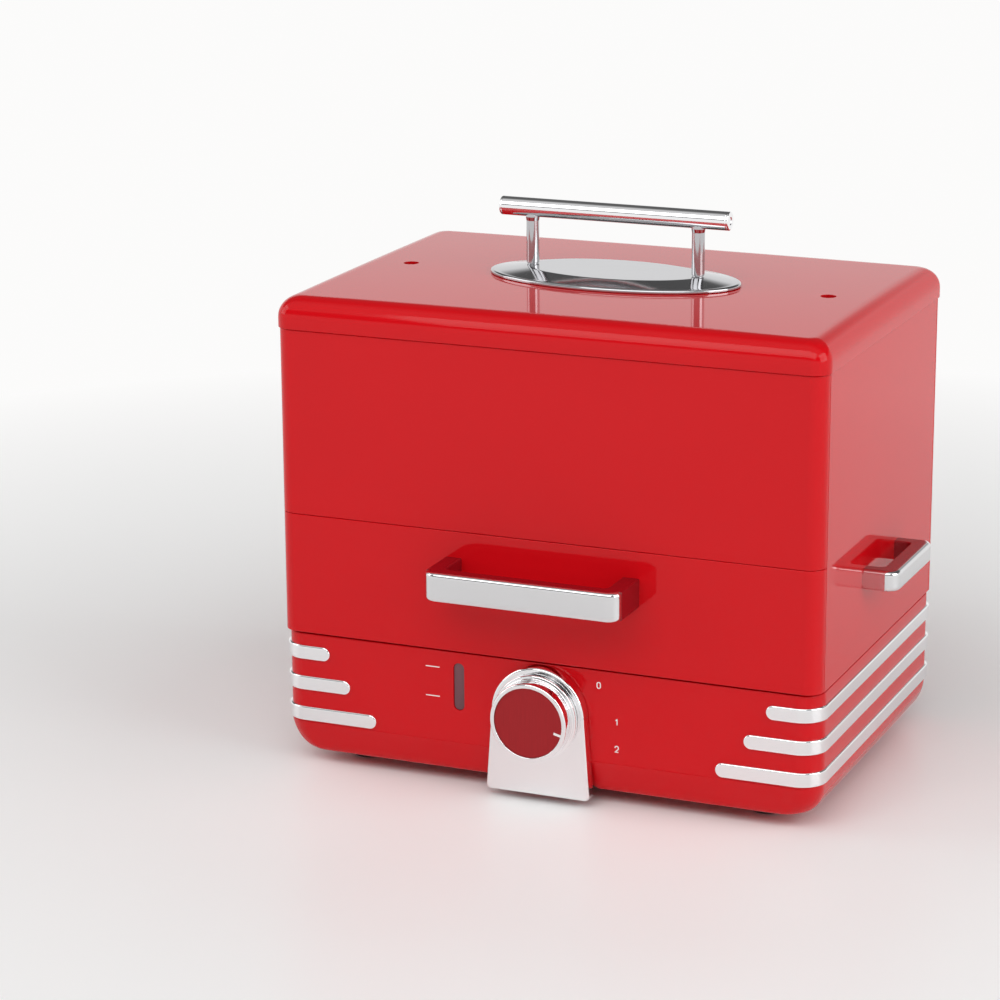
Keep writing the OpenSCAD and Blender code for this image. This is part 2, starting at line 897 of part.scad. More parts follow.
module water_well() {
    color(metal)
        placed()
            difference() {
                union() {
                    slab_z(flange_top - sheet, flange_top)
                        square([base_w - 2 * wall - 2 * flange_gap - 2 * inner_r,
                            base_d - 2 * wall - 2 * flange_gap], center = true);
                    slab_z(flange_top - sheet, flange_top)
                        square([base_w - 2 * wall - 2 * flange_gap,
                            base_d - 2 * wall - 2 * flange_gap - 2 * inner_r], center = true);
                    slab_z(well_bottom, flange_top - sheet)
                        translate([0, well_y])
                            rounded_rect(well_w, well_d, well_r);
                }
                slab_z(well_floor, flange_top + past)
                    translate([0, well_y])
                        rounded_rect(well_w - 2 * sheet, well_d - 2 * sheet, well_r - sheet);
                rod_y(-gauge_x, pipe_z, pipe_r, well_front - past, well_front + sheet + past);
                for (s = [-1, 1])
                    rod_y(s * heater_tail_x, heater_z, seal_r, well_front - past,
                        well_front + sheet + past);
            }
}

// Quarter bend in plan about [x, y], starting at the angle given
module plan_bend(x, y, z, start, bend, r) {
    translate([x, y, z])
        rotate([0, 0, start])
            rotate_extrude(angle = 90)
                translate([bend, 0])
                    circle(r);
}

// One half of the heater, from its tail round to the middle of its back run
module heater_half_loop() {
    r = heater_r;
    b = heater_bend;
    z = heater_z;
    tail_x = heater_tail_x;
    rod_y(tail_x, z, r, tail_front, heater_front - b);
    plan_bend(tail_x + b, heater_front - b, z, 90, b, r);
    rod_x(heater_front, z, r, tail_x + b, heater_half - b);
    plan_bend(heater_half - b, heater_front + b, z, -90, b, r);
    rod_y(heater_half, z, r, heater_front + b, heater_back - b);
    plan_bend(heater_half - b, heater_back - b, z, 0, b, r);
    rod_x(heater_back, z, r, 0, heater_half - b);
}

module heating_element() {
    color("dimgray")
        placed() {
            heater_half_loop();
            mirror([1, 0, 0])
                heater_half_loop();
        }
}

module heater_seals() {
    color("black")
        placed()
            for (s = [-1, 1])
                difference() {
                    union() {
                        rod_y(s * heater_tail_x, heater_z, seal_r, well_front, well_front + sheet);
                        rod_y(s * heater_tail_x, heater_z, seal_flange_r, well_front + sheet,
                            well_front + sheet + seal_flange_t);
                    }
                    rod_y(s * heater_tail_x, heater_z, heater_r, well_front - past,
                        well_front + sheet + seal_flange_t + past);
                }
}

module heater_nuts() {
    color("goldenrod")
        placed()
            for (s = [-1, 1])
                difference() {
                    hex_y(s * heater_tail_x, heater_z, heater_nut_r, well_front - heater_nut_t, well_front);
                    rod_y(s * heater_tail_x, heater_z, heater_r, well_front - heater_nut_t - past,
                        well_front + past);
                }
}

module thermostat_body() {
    color("ivory")
        placed()
            difference() {
                union() {
                    rod_y(0, dial_z, thermostat_r, bracket_back, thermostat_back);
                    rod_y(0, dial_z, bush_r, bush_front, bracket_back);
                    translate([-strip_w / 2, strip_front, strip_bottom])
                        cube([strip_w, strip_d, strip_drop]);
                }
                rod_y(0, dial_z, shaft_r + shaft_fit, bush_front - past, shaft_back + seat_gap);
            }
}

module thermostat_bracket() {
    color(metal)
        placed()
            difference() {
                slab_y(base_inside, bracket_back)
                    translate([0, dial_z])
                        square(bracket_w, center = true);
                rod_y(0, dial_z, bush_r, base_inside - past, bracket_back + past);
            }
}

module thermostat_nut() {
    color("goldenrod")
        placed()
            difference() {
                hex_y(0, dial_z, nut_r, bush_front, base_front);
                rod_y(0, dial_z, bush_r, bush_front - past, base_front + past);
            }
}

module thermal_cutoff() {
    color("saddlebrown")
        placed()
            translate([-cutoff_x - cutoff_w / 2, well_y - cutoff_d / 2, well_bottom - cutoff_h])
                cube([cutoff_w, cutoff_d, cutoff_h]);
}

module terminal_block() {
    color("whitesmoke")
        placed()
            translate([-block_w / 2, block_y, foot_h + plate_t])
                cube([block_w, block_d, block_h]);
}

// Quarter bend in a plane of constant X about [y, z], starting at the angle given from +Y
module side_bend(x, y, z, start, bend, r) {
    translate([x, y, z])
        rotate([90, 0, 90])
            rotate([0, 0, start])
                rotate_extrude(angle = 90)
                    translate([bend, 0])
                        circle(r);
}

// Wire from the terminal block forward, then up to the thermostat's strip
module thermostat_lead(x) {
    up_y = strip_front + strip_d / 2;
    rod_y(x, lead_z, lead_r, up_y + lead_bend, block_y);
    side_bend(x, up_y + lead_bend, lead_z + lead_bend, 180, lead_bend, lead_r);
    rod_z(x, up_y, lead_r, lead_z + lead_bend, strip_bottom);
}

// Wire from the terminal block forward, up, and back to the heater's tail
module heater_lead(x) {
    rod_y(x, lead_z, lead_r, tail_front, block_y);
    side_bend(x, tail_front, lead_z + lead_bend, 180, lead_bend, lead_r);
    rod_z(x, tail_front - lead_bend, lead_r, lead_z + lead_bend, heater_z - lead_bend);
    side_bend(x, tail_front, heater_z - lead_bend, 90, lead_bend, lead_r);
}

module internal_leads() {
    color("darkgray")
        placed()
            for (s = [-1, 1]) {
                thermostat_lead(s * lead_x);
                heater_lead(s * heater_tail_x);
            }
}

module cord_gland() {
    wall_back = base_d / 2;
    color("black")
        placed()
            difference() {
                union() {
                    rod_y(gland_x, gland_z, gland_flange_r, wall_back, wall_back + gland_flange_t);
                    rod_y(gland_x, gland_z, gland_r, wall_back - wall, wall_back);
                    rod_y(gland_x, gland_z, gland_flange_r, wall_back - wall - gland_nut_t, wall_back - wall);
                }
                rod_y(gland_x, gland_z, gland_bore_r, wall_back - wall - gland_nut_t - past,
                    wall_back + gland_flange_t + past);
            }
}

// Knob

module knob_body() {
    color(chrome)
        placed()
            difference() {
                union() {
                    rod_y(0, dial_z, knob_skirt_r, knob_back - knob_skirt_t, knob_back);
                    rod_y(0, dial_z, knob_r, knob_front, knob_back - knob_skirt_t);
                }
                rod_y(0, dial_z, face_r, knob_front - past, knob_floor);
                rod_y(0, dial_z, shaft_r, shaft_front, knob_back + past);
            }
}

module knob_face() {
    color("darkred")
        placed()
            rod_y(0, dial_z, face_r, knob_front + knob_dish, knob_floor);
}

module knob_pointer() {
    color("white")
        placed()
            translate([0, knob_front + knob_dish - pointer_t, dial_z])
                rotate([0, pointer_angle, 0])
                    translate([face_r - pointer_len - pointer_edge, 0, -pointer_w / 2])
                        cube([pointer_len, pointer_t, pointer_w]);
}

module thermostat_shaft() {
    color(metal)
        placed()
            rod_y(0, dial_z, shaft_r, shaft_front, shaft_back);
}

// Cabinet

module cabinet_front_panel() {
    color(red)
        placed()
            wrapped_panel(-1, upper_bottom, wall_top);
}

module cabinet_back_panel() {
    color(red)
        placed()
            wrapped_panel(1, cabinet_z, wall_top);
}

// Holes and screws for a side handle, on the right
module lug_screw_places() {
    for (s = [-1, 1])
        translate([0, s * (lug_half - arm_w / 2), cabinet_z + lug_z + lug_h / 2])
            children();
}

module side_panel() {
    difference() {
        translate([body_w / 2 - wall, -body_d / 2 + corner_r + panel_gap, cabinet_z])
            cube([wall, body_d - 2 * corner_r - 2 * panel_gap, cabinet_h]);
        lug_screw_places()
            rod_x(0, 0, screw_r, body_w / 2 - wall - past, body_w / 2 + past);
    }
}

module cabinet_right_panel() {
    color(red)
        placed()
            side_panel();
}

module cabinet_left_panel() {
    color(red)
        placed()
            mirror([1, 0, 0])
                side_panel();
}

module chamber_shelf() {
    color("firebrick")
        placed()
            slab_z(shelf_z, shelf_top)
                difference() {
                    rounded_rect(inner_w, inner_d, inner_r + corner_ease);
                    square([ledge_w, ledge_d], center = true);
                }
}

// Frame under the drawer; its front stays clear of the drawer front
module cabinet_lower_frame() {
    front = -inner_d / 2 + drawer_gap / 2;
    depth = inner_d - drawer_gap / 2;
    pad_x = inner_w / 2 - shelf_rim + frame_pad_r;
    color("firebrick")
        placed() {
            slab_z(cabinet_z, cabinet_z + shelf_t)
                difference() {
                    translate([0, front + depth / 2])
                        rounded_rect(inner_w, depth, inner_r + corner_ease);
                    square([ledge_w, ledge_d], center = true);
                }
            for (sx = [-1, 1], sy = [-1, 1])
                rod_z(sx * pad_x, sy * (inner_d / 2 - shelf_rim), frame_pad_r, flange_top, cabinet_z);
        }
}

// Angle on the right wall that the bun tray runs on
module runner() {
    run = inner_d - 2 * runner_end;
    translate([runner_web_x, -run / 2, cabinet_z + runner_z])
        cube([runner_t, run, runner_h]);
    translate([runner_web_x - runner_w, -run / 2, cabinet_z + runner_z])
        cube([runner_w, run, runner_t]);
}

module drawer_runner_right() {
    color(metal)
        placed()
            runner();
}

module drawer_runner_left() {
    color(metal)
        placed()
            mirror([1, 0, 0])
                runner();
}

// Handles are drawn against a wall at x = 0, reaching out along +X, half a length each way in Y

module d_outline(len, half, r) {
    intersection() {
        translate([0, -half])
            square([len, 2 * half]);
        translate([len / 2 - half, 0])
            rounded_rect(len + 2 * half, 2 * half, r);
    }
}

module grip(reach, half, h) {
    difference() {
        linear_extrude(height = h)
            difference() {
                union() {
                    translate([0, -half])
                        square([reach - trim_wrap, 2 * half]);
                    translate([reach - trim_wrap - past, 0])
                        d_outline(trim_wrap - trim_t + past, half - trim_t, handle_r - trim_t);
                }
                translate([-past, -half + arm_w])
                    square([reach - bar_t + past, 2 * (half - arm_w)]);
            }
        for (s = [-1, 1])
            rod_x(s * (half - arm_w / 2), h / 2, screw_r, -past, arm_screw_len);
    }
}

module trim(reach, half, h) {
    linear_extrude(height = h)
        difference() {
            translate([reach - trim_wrap, 0])
                d_outline(trim_wrap, half, handle_r);
            translate([reach - trim_wrap - past, 0])
                d_outline(trim_wrap - trim_t + past, half - trim_t, handle_r - trim_t);
        }
}

module on_right_wall() {
    translate([body_w / 2, 0, cabinet_z + lug_z])
        children();
}

module on_drawer() {
    translate([0, -body_d / 2, cabinet_z + pull_z])
        rotate([0, 0, -90])
            children();
}

module side_handle_right_grip() {
    color(handle_red)
        placed()
            on_right_wall()
                grip(lug_reach, lug_half, lug_h);
}

module side_handle_left_grip() {
    color(handle_red)
        placed()
            mirror([1, 0, 0])
                on_right_wall()
                    grip(lug_reach, lug_half, lug_h);
}

module side_handle_right_trim() {
    color(chrome)
        placed()
            on_right_wall()
                trim(lug_reach, lug_half, lug_h);
}

module side_handle_left_trim() {
    color(chrome)
        placed()
            mirror([1, 0, 0])
                on_right_wall()
                    trim(lug_reach, lug_half, lug_h);
}

// Screw through a wall into a handle's arm, its head inside
module arm_screw() {
    rod_x(0, 0, screw_r, -wall, arm_screw_len);
    rod_x(0, 0, screw_head_r, -wall - screw_head_h, -wall);
}

module side_handle_screws() {
    color(metal)
        placed()
            for (m = [0, 1])
                mirror([m, 0, 0])
                    lug_screw_places()
                        translate([body_w / 2, 0, 0])
                            arm_screw();
}

// Drawer

module pull_screw_places() {
    on_drawer()
        for (s = [-1, 1])
            translate([0, s * (pull_half - arm_w / 2), pull_h / 2])
                children();
}

module drawer_front() {
    color(red)
        placed()
            difference() {
                wrapped_panel(-1, drawer_bottom, drawer_top);
                pull_screw_places()
                    rod_x(0, 0, screw_r, -wall - past, past);
            }
}

module bun_tray() {
    depth = bun_rear - bun_front;
    hole_room = 2 * (sheet + bun_hole_r + hole_edge);
    across = floor((2 * bun_half - hole_room) / bun_hole_pitch);
    along = floor((depth - hole_room) / bun_hole_pitch);
    color(metal)
        placed()
            translate([0, (bun_rear + bun_front) / 2, 0])
                difference() {
                    open_tray(2 * bun_half, depth, bun_z, bun_h, bun_r);
                    for (i = [0 : across], j = [0 : along])
                        rod_z((i - across / 2) * bun_hole_pitch, (j - along / 2) * bun_hole_pitch,
                            bun_hole_r, bun_z - past, bun_z + sheet + past);
                    // room for the heads of the handle's screws
                    for (s = [-1, 1])
                        translate([s * (pull_half - arm_w / 2), 0, cabinet_z + pull_z + pull_h / 2])
                            rotate([90, 0, 0])
                                cylinder(r = screw_head_r + head_room, h = depth);
                }
}

module drawer_handle_grip() {
    color(handle_red)
        placed()
            on_drawer()
                grip(pull_reach, pull_half, pull_h);
}

module drawer_handle_trim() {
    color(chrome)
        placed()
            on_drawer()
                trim(pull_reach, pull_half, pull_h);
}

module drawer_screws() {
    color(metal)
        placed()
            pull_screw_places()
                arm_screw();
}

// Trays

module juice_tray() {
    across = floor((ledge_w - 2 * (chimney_r + hole_edge)) / chimney_pitch);
    along = floor((ledge_d - 2 * (chimney_r + hole_edge)) / chimney_pitch);
    color(metal)
        placed()
            difference() {
                union() {
                    open_tray(tray_w, tray_d, juice_z, juice_h, tray_r);
                    for (i = [0 : across], j = [0 : along])
                        rod_z((i - across / 2) * chimney_pitch, (j - along / 2) * chimney_pitch,
                            chimney_r, juice_z, juice_z + chimney_h);
                }
                for (i = [0 : across], j = [0 : along])
                    rod_z((i - across / 2) * chimney_pitch, (j - along / 2) * chimney_pitch,
                        chimney_bore_r, juice_z - past, juice_z + chimney_h + past);
            }
}

module hot_dog_tray() {
    row_pitch = slot_pitch / 2;
    across = floor((tray_w - slot_len - 2 * (sheet + hole_edge)) / slot_pitch);
    along = floor((tray_d - slot_w - 2 * (sheet + hole_edge)) / row_pitch);
    color(metal)
        placed()
            difference() {
                open_tray(tray_w, tray_d, dog_z, dog_h, tray_r);
                for (i = [0 : across], j = [0 : along])
                    slab_z(dog_z - past, dog_z + sheet + past)
                        translate([(i - across / 2) * slot_pitch, (j - along / 2) * row_pitch])
                            rotate(90)
                                slot_outline(slot_w, slot_len);
                rod_x(0, dog_z + dog_h, notch_r, -tray_w / 2 - past, tray_w / 2 + past);
            }
}

// Lid

module post_places() {
    for (s = [-1, 1])
        translate([s * post_x, 0, 0])
            children();
}

module lid_shell() {
    lip_w = inner_w - 2 * lip_gap;
    lip_d = inner_d - 2 * lip_gap;
    lip_r = inner_r - lip_gap;
    difference() {
        cap_block(body_w + 2 * lid_over, body_d + 2 * lid_over, lid_z, lid_top,
            lid_edge_r, corner_r + lid_over);
        cap_block(body_w + 2 * lid_over - 2 * wall, body_d + 2 * lid_over - 2 * wall,
            lid_z - past, lid_top - wall, lid_edge_r - wall, corner_r + lid_over - wall);
    }
    // lip inside the walls, and the web that joins it to the rim
    difference() {
        union() {
            slab_z(lid_z - lip_h, lid_z)
                rounded_rect(lip_w, lip_d, lip_r);
            slab_z(lid_z, lid_z + web_h)
                rounded_rect(body_w + 2 * lid_over - wall, body_d + 2 * lid_over - wall,
                    corner_r + lid_over - wall / 2);
        }
        slab_z(lid_z - lip_h - past, lid_z + web_h + past)
            rounded_rect(lip_w - 2 * lip_t, lip_d - 2 * lip_t, lip_r - lip_t);
    }
}

module lid_cap() {
    color(red)
        placed()
            difference() {
                lid_shell();
                for (s = [-1, 1])
                    rod_z(s * vent_x, 0, vent_r, lid_top - wall - past, lid_top + past);
                post_places()
                    rod_z(0, 0, stud_r + stud_fit, lid_top - wall - past, lid_top + past);
            }
}

// Ellipse, as many points as a smooth edge needs
module oval_outline() {
    step = 360 / oval_sides;
    polygon([for (i = [0 : oval_sides - 1]) [oval_half * cos(i * step), oval_wide * sin(i * step)]]);
}

// Arc over a half width that rises from the rim's level
module dome_outline(half) {
    dome_r = (half * half + oval_rise * oval_rise) / (2 * oval_rise);
    translate([0, seat_z + oval_rise - dome_r])
        circle(dome_r, $fn = big_fn);
}

module lid_handle_plate() {
    color(chrome)
        placed()
            difference() {
                intersection() {
                    slab_z(plate_z, seat_z + oval_rise)
                        oval_outline();
                    slab_y(-oval_wide - past, oval_wide + past)
                        dome_outline(oval_half);
                    slab_x(-oval_half - past, oval_half + past)
                        dome_outline(oval_wide);
                }
                post_places() {
                    rod_z(0, 0, stud_r + stud_fit, plate_z - past, seat_z + past);
                    rod_z(0, 0, collar_r, seat_z, seat_z + oval_rise + past);
                }
            }
}

module lid_handle_post() {
    rod_z(0, 0, stud_r, lid_top - wall - lid_nut_t - stud_end, seat_z);
    rod_z(0, 0, collar_r, seat_z, seat_z + collar_h);
    rod_z(0, 0, post_r, seat_z + collar_h, post_top);
}

module lid_handle_post_left() {
    color(chrome)
        placed()
            translate([-post_x, 0, 0])
                lid_handle_post();
}

module lid_handle_post_right() {
    color(chrome)
        placed()
            translate([post_x, 0, 0])
                lid_handle_post();
}

module lid_handle_bar() {
    color(chrome)
        placed()
            difference() {
                rod_x(0, bar_z, bar_r, -bar_half, bar_half);
                post_places()
                    rod_z(0, 0, post_r, bar_z - 2 * bar_r, post_top);
                for (s = [-1, 1])
                    rod_x(0, bar_z, spigot_r, s * bar_half - spigot_len, s * bar_half + spigot_len);
            }
}

module lid_handle_end_caps() {
    color(chrome)
        placed()
            for (m = [0, 1])
                mirror([m, 0, 0]) {
                    rod_x(0, bar_z, spigot_r, bar_half - spigot_len, bar_half);
                    rod_x(0, bar_z, bar_r, bar_half, bar_half + cap_t);
                }
}

module lid_handle_nuts() {
    color("goldenrod")
        placed()
            post_places()
                difference() {
                    translate([0, 0, lid_top - wall - lid_nut_t])
                        cylinder(r = lid_nut_r, h = lid_nut_t, $fn = 6);
                    rod_z(0, 0, stud_r, lid_top - wall - lid_nut_t - past, lid_top - wall + past);
                }
}

base_housing();
base_bottom_plate();
base_screws();
feet();
foot_pads();
stripe_left_upper();
stripe_left_middle();
stripe_left_lower();
stripe_right_upper();
stripe_right_middle();
stripe_right_lower();
dial_plate();
gauge_window();
gauge_gasket();
gauge_chamber();
gauge_pipe();
water_well();
heating_element();
heater_seals();
heater_nuts();
thermostat_body();
thermostat_bracket();
thermostat_nut();
thermal_cutoff();
terminal_block();
internal_leads();
cord_gland();
knob_body();
knob_face();
knob_pointer();
thermostat_shaft();
cabinet_front_panel();
cabinet_left_panel();
cabinet_right_panel();
cabinet_back_panel();
chamber_shelf();
cabinet_lower_frame();
drawer_runner_left();
drawer_runner_right();
side_handle_left_grip();
side_handle_left_trim();
side_handle_right_grip();
side_handle_right_trim();
side_handle_screws();
drawer_front();
bun_tray();
drawer_handle_grip();
drawer_handle_trim();
drawer_screws();
juice_tray();
hot_dog_tray();
lid_cap();
lid_handle_plate();
lid_handle_post_left();
lid_handle_post_right();
lid_handle_bar();
lid_handle_end_caps();
lid_handle_nuts();
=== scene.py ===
"""Looks of a counter-top hot dog steamer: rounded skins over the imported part, finishes and a small studio."""
import json
import math

import bmesh
import bpy
import numpy as np
from bpy.props import FloatProperty, FloatVectorProperty, PointerProperty
from bpy.types import Operator, Panel, PropertyGroup
from mathutils import Matrix, Vector


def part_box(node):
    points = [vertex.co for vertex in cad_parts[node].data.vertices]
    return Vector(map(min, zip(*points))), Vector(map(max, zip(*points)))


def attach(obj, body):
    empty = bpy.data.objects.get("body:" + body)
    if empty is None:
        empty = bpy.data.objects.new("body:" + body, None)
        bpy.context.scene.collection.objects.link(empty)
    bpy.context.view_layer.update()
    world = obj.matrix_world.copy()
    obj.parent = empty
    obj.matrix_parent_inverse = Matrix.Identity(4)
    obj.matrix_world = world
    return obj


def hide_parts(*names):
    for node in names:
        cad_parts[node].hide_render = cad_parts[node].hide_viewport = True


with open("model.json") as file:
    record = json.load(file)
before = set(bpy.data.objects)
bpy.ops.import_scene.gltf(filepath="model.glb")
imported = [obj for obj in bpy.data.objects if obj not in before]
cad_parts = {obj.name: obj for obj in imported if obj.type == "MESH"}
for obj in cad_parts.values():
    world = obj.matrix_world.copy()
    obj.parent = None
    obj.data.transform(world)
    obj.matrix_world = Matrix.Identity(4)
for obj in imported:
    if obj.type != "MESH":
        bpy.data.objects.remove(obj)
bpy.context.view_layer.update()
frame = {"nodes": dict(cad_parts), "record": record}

bl_info = {
    "name": "Steamer dressing",
    "version": (1, 0, 0),
    "blender": (4, 5, 0),
    "location": "View3D > Sidebar > Steamer",
    "description": "Skins, finishes and stage of a counter-top steamer",
    "category": "Object",
}

MM = 0.001
QUARTER = math.pi / 2
RECORD = frame["record"]
SLOT_OF = {part["node"]: part["material_slot"] for part in RECORD["subparts"]}
SLOT_COLOUR = {entry["slot"]: entry["base_color"][:3] for entry in RECORD["materials"]}
SIDES = (("left", -1), ("right", 1))

# Steps and limits of the meshes
CORNER_STEPS = 6            # points on half a corner of a plate
EDGE_STEPS = 4              # points on a rounded edge
CURVE_STEPS = 14            # steps on the base's lower curve
CURVE_ROWS = CURVE_STEPS + 2    # rows on that curve, with the lip's
CREASE = 0.012              # angle of a row close below the curve's top, where the lip steps out
NOTCH_STEPS = 8             # grid lines across the rounding beside the dial plate
HOLE_STEPS = 5              # grid lines across half a hole
LID_STEPS = 10              # steps on the lid's rounded edge
OVAL_STEPS = 160            # points round the lid's oval plate
OVAL_EDGE_STEPS = 6         # steps on the roundings of its rim
OVAL_ROWS = (12, 8)         # rows on its slope and its flat top
TURN_STEPS = 96             # points round a turned piece
ARC_STEP = math.radians(6)
BASE_LINES = (9, 7)         # even grid lines along the base's front and side
LID_LINES = (17, 13)        # even grid lines across the lid
SMOOTH_ANGLE = math.radians(50)     # a piece's edges are sharp above this angle
SOLID_ANGLE = math.radians(35)      # and a solid's above this one
MERGE = 1e-7
SAME = 1e-6                 # places closer than this count as one
GUARD = 1e-9                # keeps a divisor above zero
LEAST_RADIUS = 0.02 * MM    # of a corner that is nearly sharp
REAR_EDGE = 0.2 * MM        # rounding at the back of a plate
FIT = 0.05 * MM             # play of a piece in its seat

# Base and feet
BASE_EDGE = 0.8 * MM        # rounding of the base's top edge
RIM_EDGE = 0.4 * MM         # bevel inside it
LEDGE_STEP = 2.5 * MM       # each step of the ledge that holds the bottom plate
LEDGE_WIDTH = 12 * MM
PLATE_PLAY = 0.1 * MM       # gap round the bottom plate
HOLE_MARGIN = 2.6 * MM      # how far the rings of grid lines spread round a hole
CORD_HOLE = 7.0 * MM
BACKING_HALF = 20 * MM      # block behind the dial's foot
BACKING_RISE = 2 * MM       # its top above the base's lower curve
BACKING_EDGE = 0.4 * MM
BACKING_CORNER = 1 * MM
STRIPE_SEAT = 0.3 * MM      # depth of a stripe in the base
FOOT_SOLID = 11.5 * MM      # radius of a foot's solid, which gives the foot's middle
FOOT_RADIUS = 13.5 * MM
FOOT_RISE = 2.4 * MM        # how far a foot goes up past its solid, into the base
FOOT_ROUNDS = np.array([0, 0.2, 0.2, 1.2, 0.3, 0]) * MM
PAD_RADIUS = 11 * MM
PAD_BED = 1 * MM            # depth of the pad's seat
PAD_ROUNDS = np.array([0, 0.8, 0.2, 0]) * MM

# Dial, knob and gauge
DIAL_FLARE = 40 * MM        # radius between the arch and the flared sides
KNOB_ROUNDS = np.array([0, 0.3, 1.0, 0.6, 1.1, 0.5, 0.1, 0]) * MM
INSERT_ROUNDS = np.array([0, 0.1, 0.4, 0]) * MM
INSERT_CROWN = 0.12 * MM
POINTER = (16.7 * MM, 21.2 * MM)    # start and end of the pointer from the knob's axis
POINTER_SIZE = (1.4 * MM, 0.35 * MM)    # its width and thickness
POINTER_SINK = 0.1 * MM
GAUGE_HALF_WIDTH = 3.5 * MM
GAUGE_HALF_HEIGHT = 14.8 * MM
GAUGE_DROP = 6.5 * MM       # from the base's top to the slot's top
GAUGE_PLACE = 53.7 * MM     # left of the middle
PANE_PAST_WALL = 1 * MM     # how much thicker the pane is than the wall
PANE_EDGE = 0.3 * MM
LEVELS = (73.7 * MM, 55.4 * MM)     # heights of the level lines
LEVEL_HALF = 4.6 * MM       # half a level line's length
LEVEL_PLACE = 70.7 * MM     # left of the middle
PRINT = 0.1 * MM            # thickness of a printed mark
PRINT_EDGES = (0.04 * MM, 0.02 * MM)    # rounding at its face and back
LEVEL_LIFT = 0.07 * MM      # face of a level line in front of the base
NUMERAL_SINK = 0.03 * MM    # back of a numeral inside the base's front
NUMERAL_PLACES = ((35.5 * MM, 75.2 * MM), (46.9 * MM, 53.9 * MM), (46.9 * MM, 37.2 * MM))
NUMERAL_WIDTH = 0.29        # half a numeral's width, as a share of its height

# Cabinet and handles
PANEL_CORNER = 0.8 * MM
TRIM_BED = 0.3 * MM         # how deep a trim sits in its grip
TRIM_LAP = 0.9 * MM         # how far a trim's end goes into its grip
TRIM_CORNER = 3.6 * MM      # rounding of a trim's ends
ARM_SEAT = 1.2 * MM         # how deep the arms sit in the wall
GRIP_ROUND = 3 * MM         # inside corners of a grip
GRIP_SPARE = 0.1 * MM       # what a grip's corners are larger than its edges
GRIP_STEP = 0.2 * MM        # rounding in the step for the trim

# Lid and its handle
LID_GAP = 0.3 * MM          # between the lid's rim and the wall
LID_BEVEL = 0.3 * MM        # at the rim's lower edge
LID_TIGHT = 4 * MM          # plan radius where the lid's rounded edge ends on top
LIP_OUT = 4.6 * MM          # outer face of the lip, in from the rim
LIP_BEVEL = (0.6 * MM, 0.5 * MM)    # in and up
LIP_IN = 7 * MM             # inner face of the lip
LIP_ROOF = 3 * MM           # inside of the lid above the rim, between lip and wall
VENT_MARGIN = 4 * MM        # how far the rings of grid lines spread round a vent
OVAL_RIM = 2.4 * MM         # height of the oval plate's rim
OVAL_SLOPE = 0.965          # share of the oval at which its slope starts
OVAL_TOP = 0.69             # share at which its flat top starts
OVAL_BREAK = (0.02, 0.005, -0.01, -0.04)    # rows close to that, as shares from it
OVAL_FOOT = (0.012, 0.4 * MM)   # rounding at the rim's foot: share of the oval, and height
OVAL_BROW = (0.025, 1.2 * MM)   # rounding at the rim's top
POST_STUD = 2.5 * MM        # radii of a post, from its foot up
POST_NECK = 3.3 * MM
POST_SHANK = 3.9 * MM
POST_FLARE = 0.4 * MM       # how much wider the post ends at the bar
POST_FLARE_DROP = 2.2 * MM
POST_STEP = (0.5 * MM, 0.6 * MM)    # where the neck ends and the shank starts, above the plate
POST_ROUNDS = np.array([0, 0.3, 0.1, 0.1, 0.1, 0.3, 1.5, 0.3, 0.1, 0]) * MM
BAR_GROOVE = 0.3 * MM
BAR_BUTTON = (2.4 * MM, 0.45 * MM)  # radius and depth of the button in an end cap
BAR_ROUNDS = np.array([0, 0.1, 0.15, 0.9, 0.05, 0.05, 0.05]) * MM

# Finishes and stage
NOISE_SPAN = (0.3, 0.7)     # part of the broad noise that shows
BROAD_DETAIL = 4
FINE_DETAIL = 2
BUMP_DEPTH = 0.2 * MM
CAMERA_FOCAL = 3.35174      # in picture widths
CAMERA_DROP = 0.031         # principal point below the picture's middle, in picture widths
CAMERA_TURN = math.radians(23.133)
CAMERA_RISE = math.radians(16.107)
CAMERA_ROLL = math.radians(-0.365)
CAMERA_AWAY = 2.08566
CAMERA_TARGET = (-0.075853, 0.126064)   # X and Z; Y is the base's middle
SENSOR = 36.0
LIGHT_AIM = (0, 0, 0.16)
SOFTBOXES = {               # name, place, width and height for each level
    "key": ("front_softbox", (0.1, -1.7, 1.75), 2.4, 1.4),
    "left": ("left_softbox", (-1.9, -0.6, 1.1), 1.2, 1.2),
    "right": ("right_softbox", (2.0, -0.35, 1.15), 1.6, 1.4),
}
SKY_BEHIND = ((0.0, 1.47), (0.3, 1.47), (0.42, 0.2), (1.0, 0.16))   # (Z of the direction, level)
SKY_BEFORE = ((0.0, 1.47), (0.16, 1.47), (0.28, 0.08), (0.5, 0.08), (0.6, 1.1), (1.0, 1.0))
SKY_TURN = (-0.15, 0.25)    # Y of the direction, from all before to all behind
FLOOR_REACH = 9.0
FLOOR_LOOK = dict(rough=(0.3, 0.42), blotch=3, shade=0.985, grain=60, relief=0.002, ior=1.35)
GLOW_SPAN = (0.3, 1.05)     # distances from lit counter to backdrop


def box(node):
    """Lowest and highest corner of a CAD node, as arrays."""
    low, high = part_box(node)
    return np.array(low), np.array(high)


def length(name, text, millimetres):
    """A length property, given in millimetres."""
    return FloatProperty(name=name, description=text, default=millimetres * MM, min=0, precision=5,
                         unit="LENGTH")


def colour(name, text, value):
    """A colour property."""
    return FloatVectorProperty(name=name, description=text, default=value, min=0, max=1, size=3,
                               subtype="COLOR")


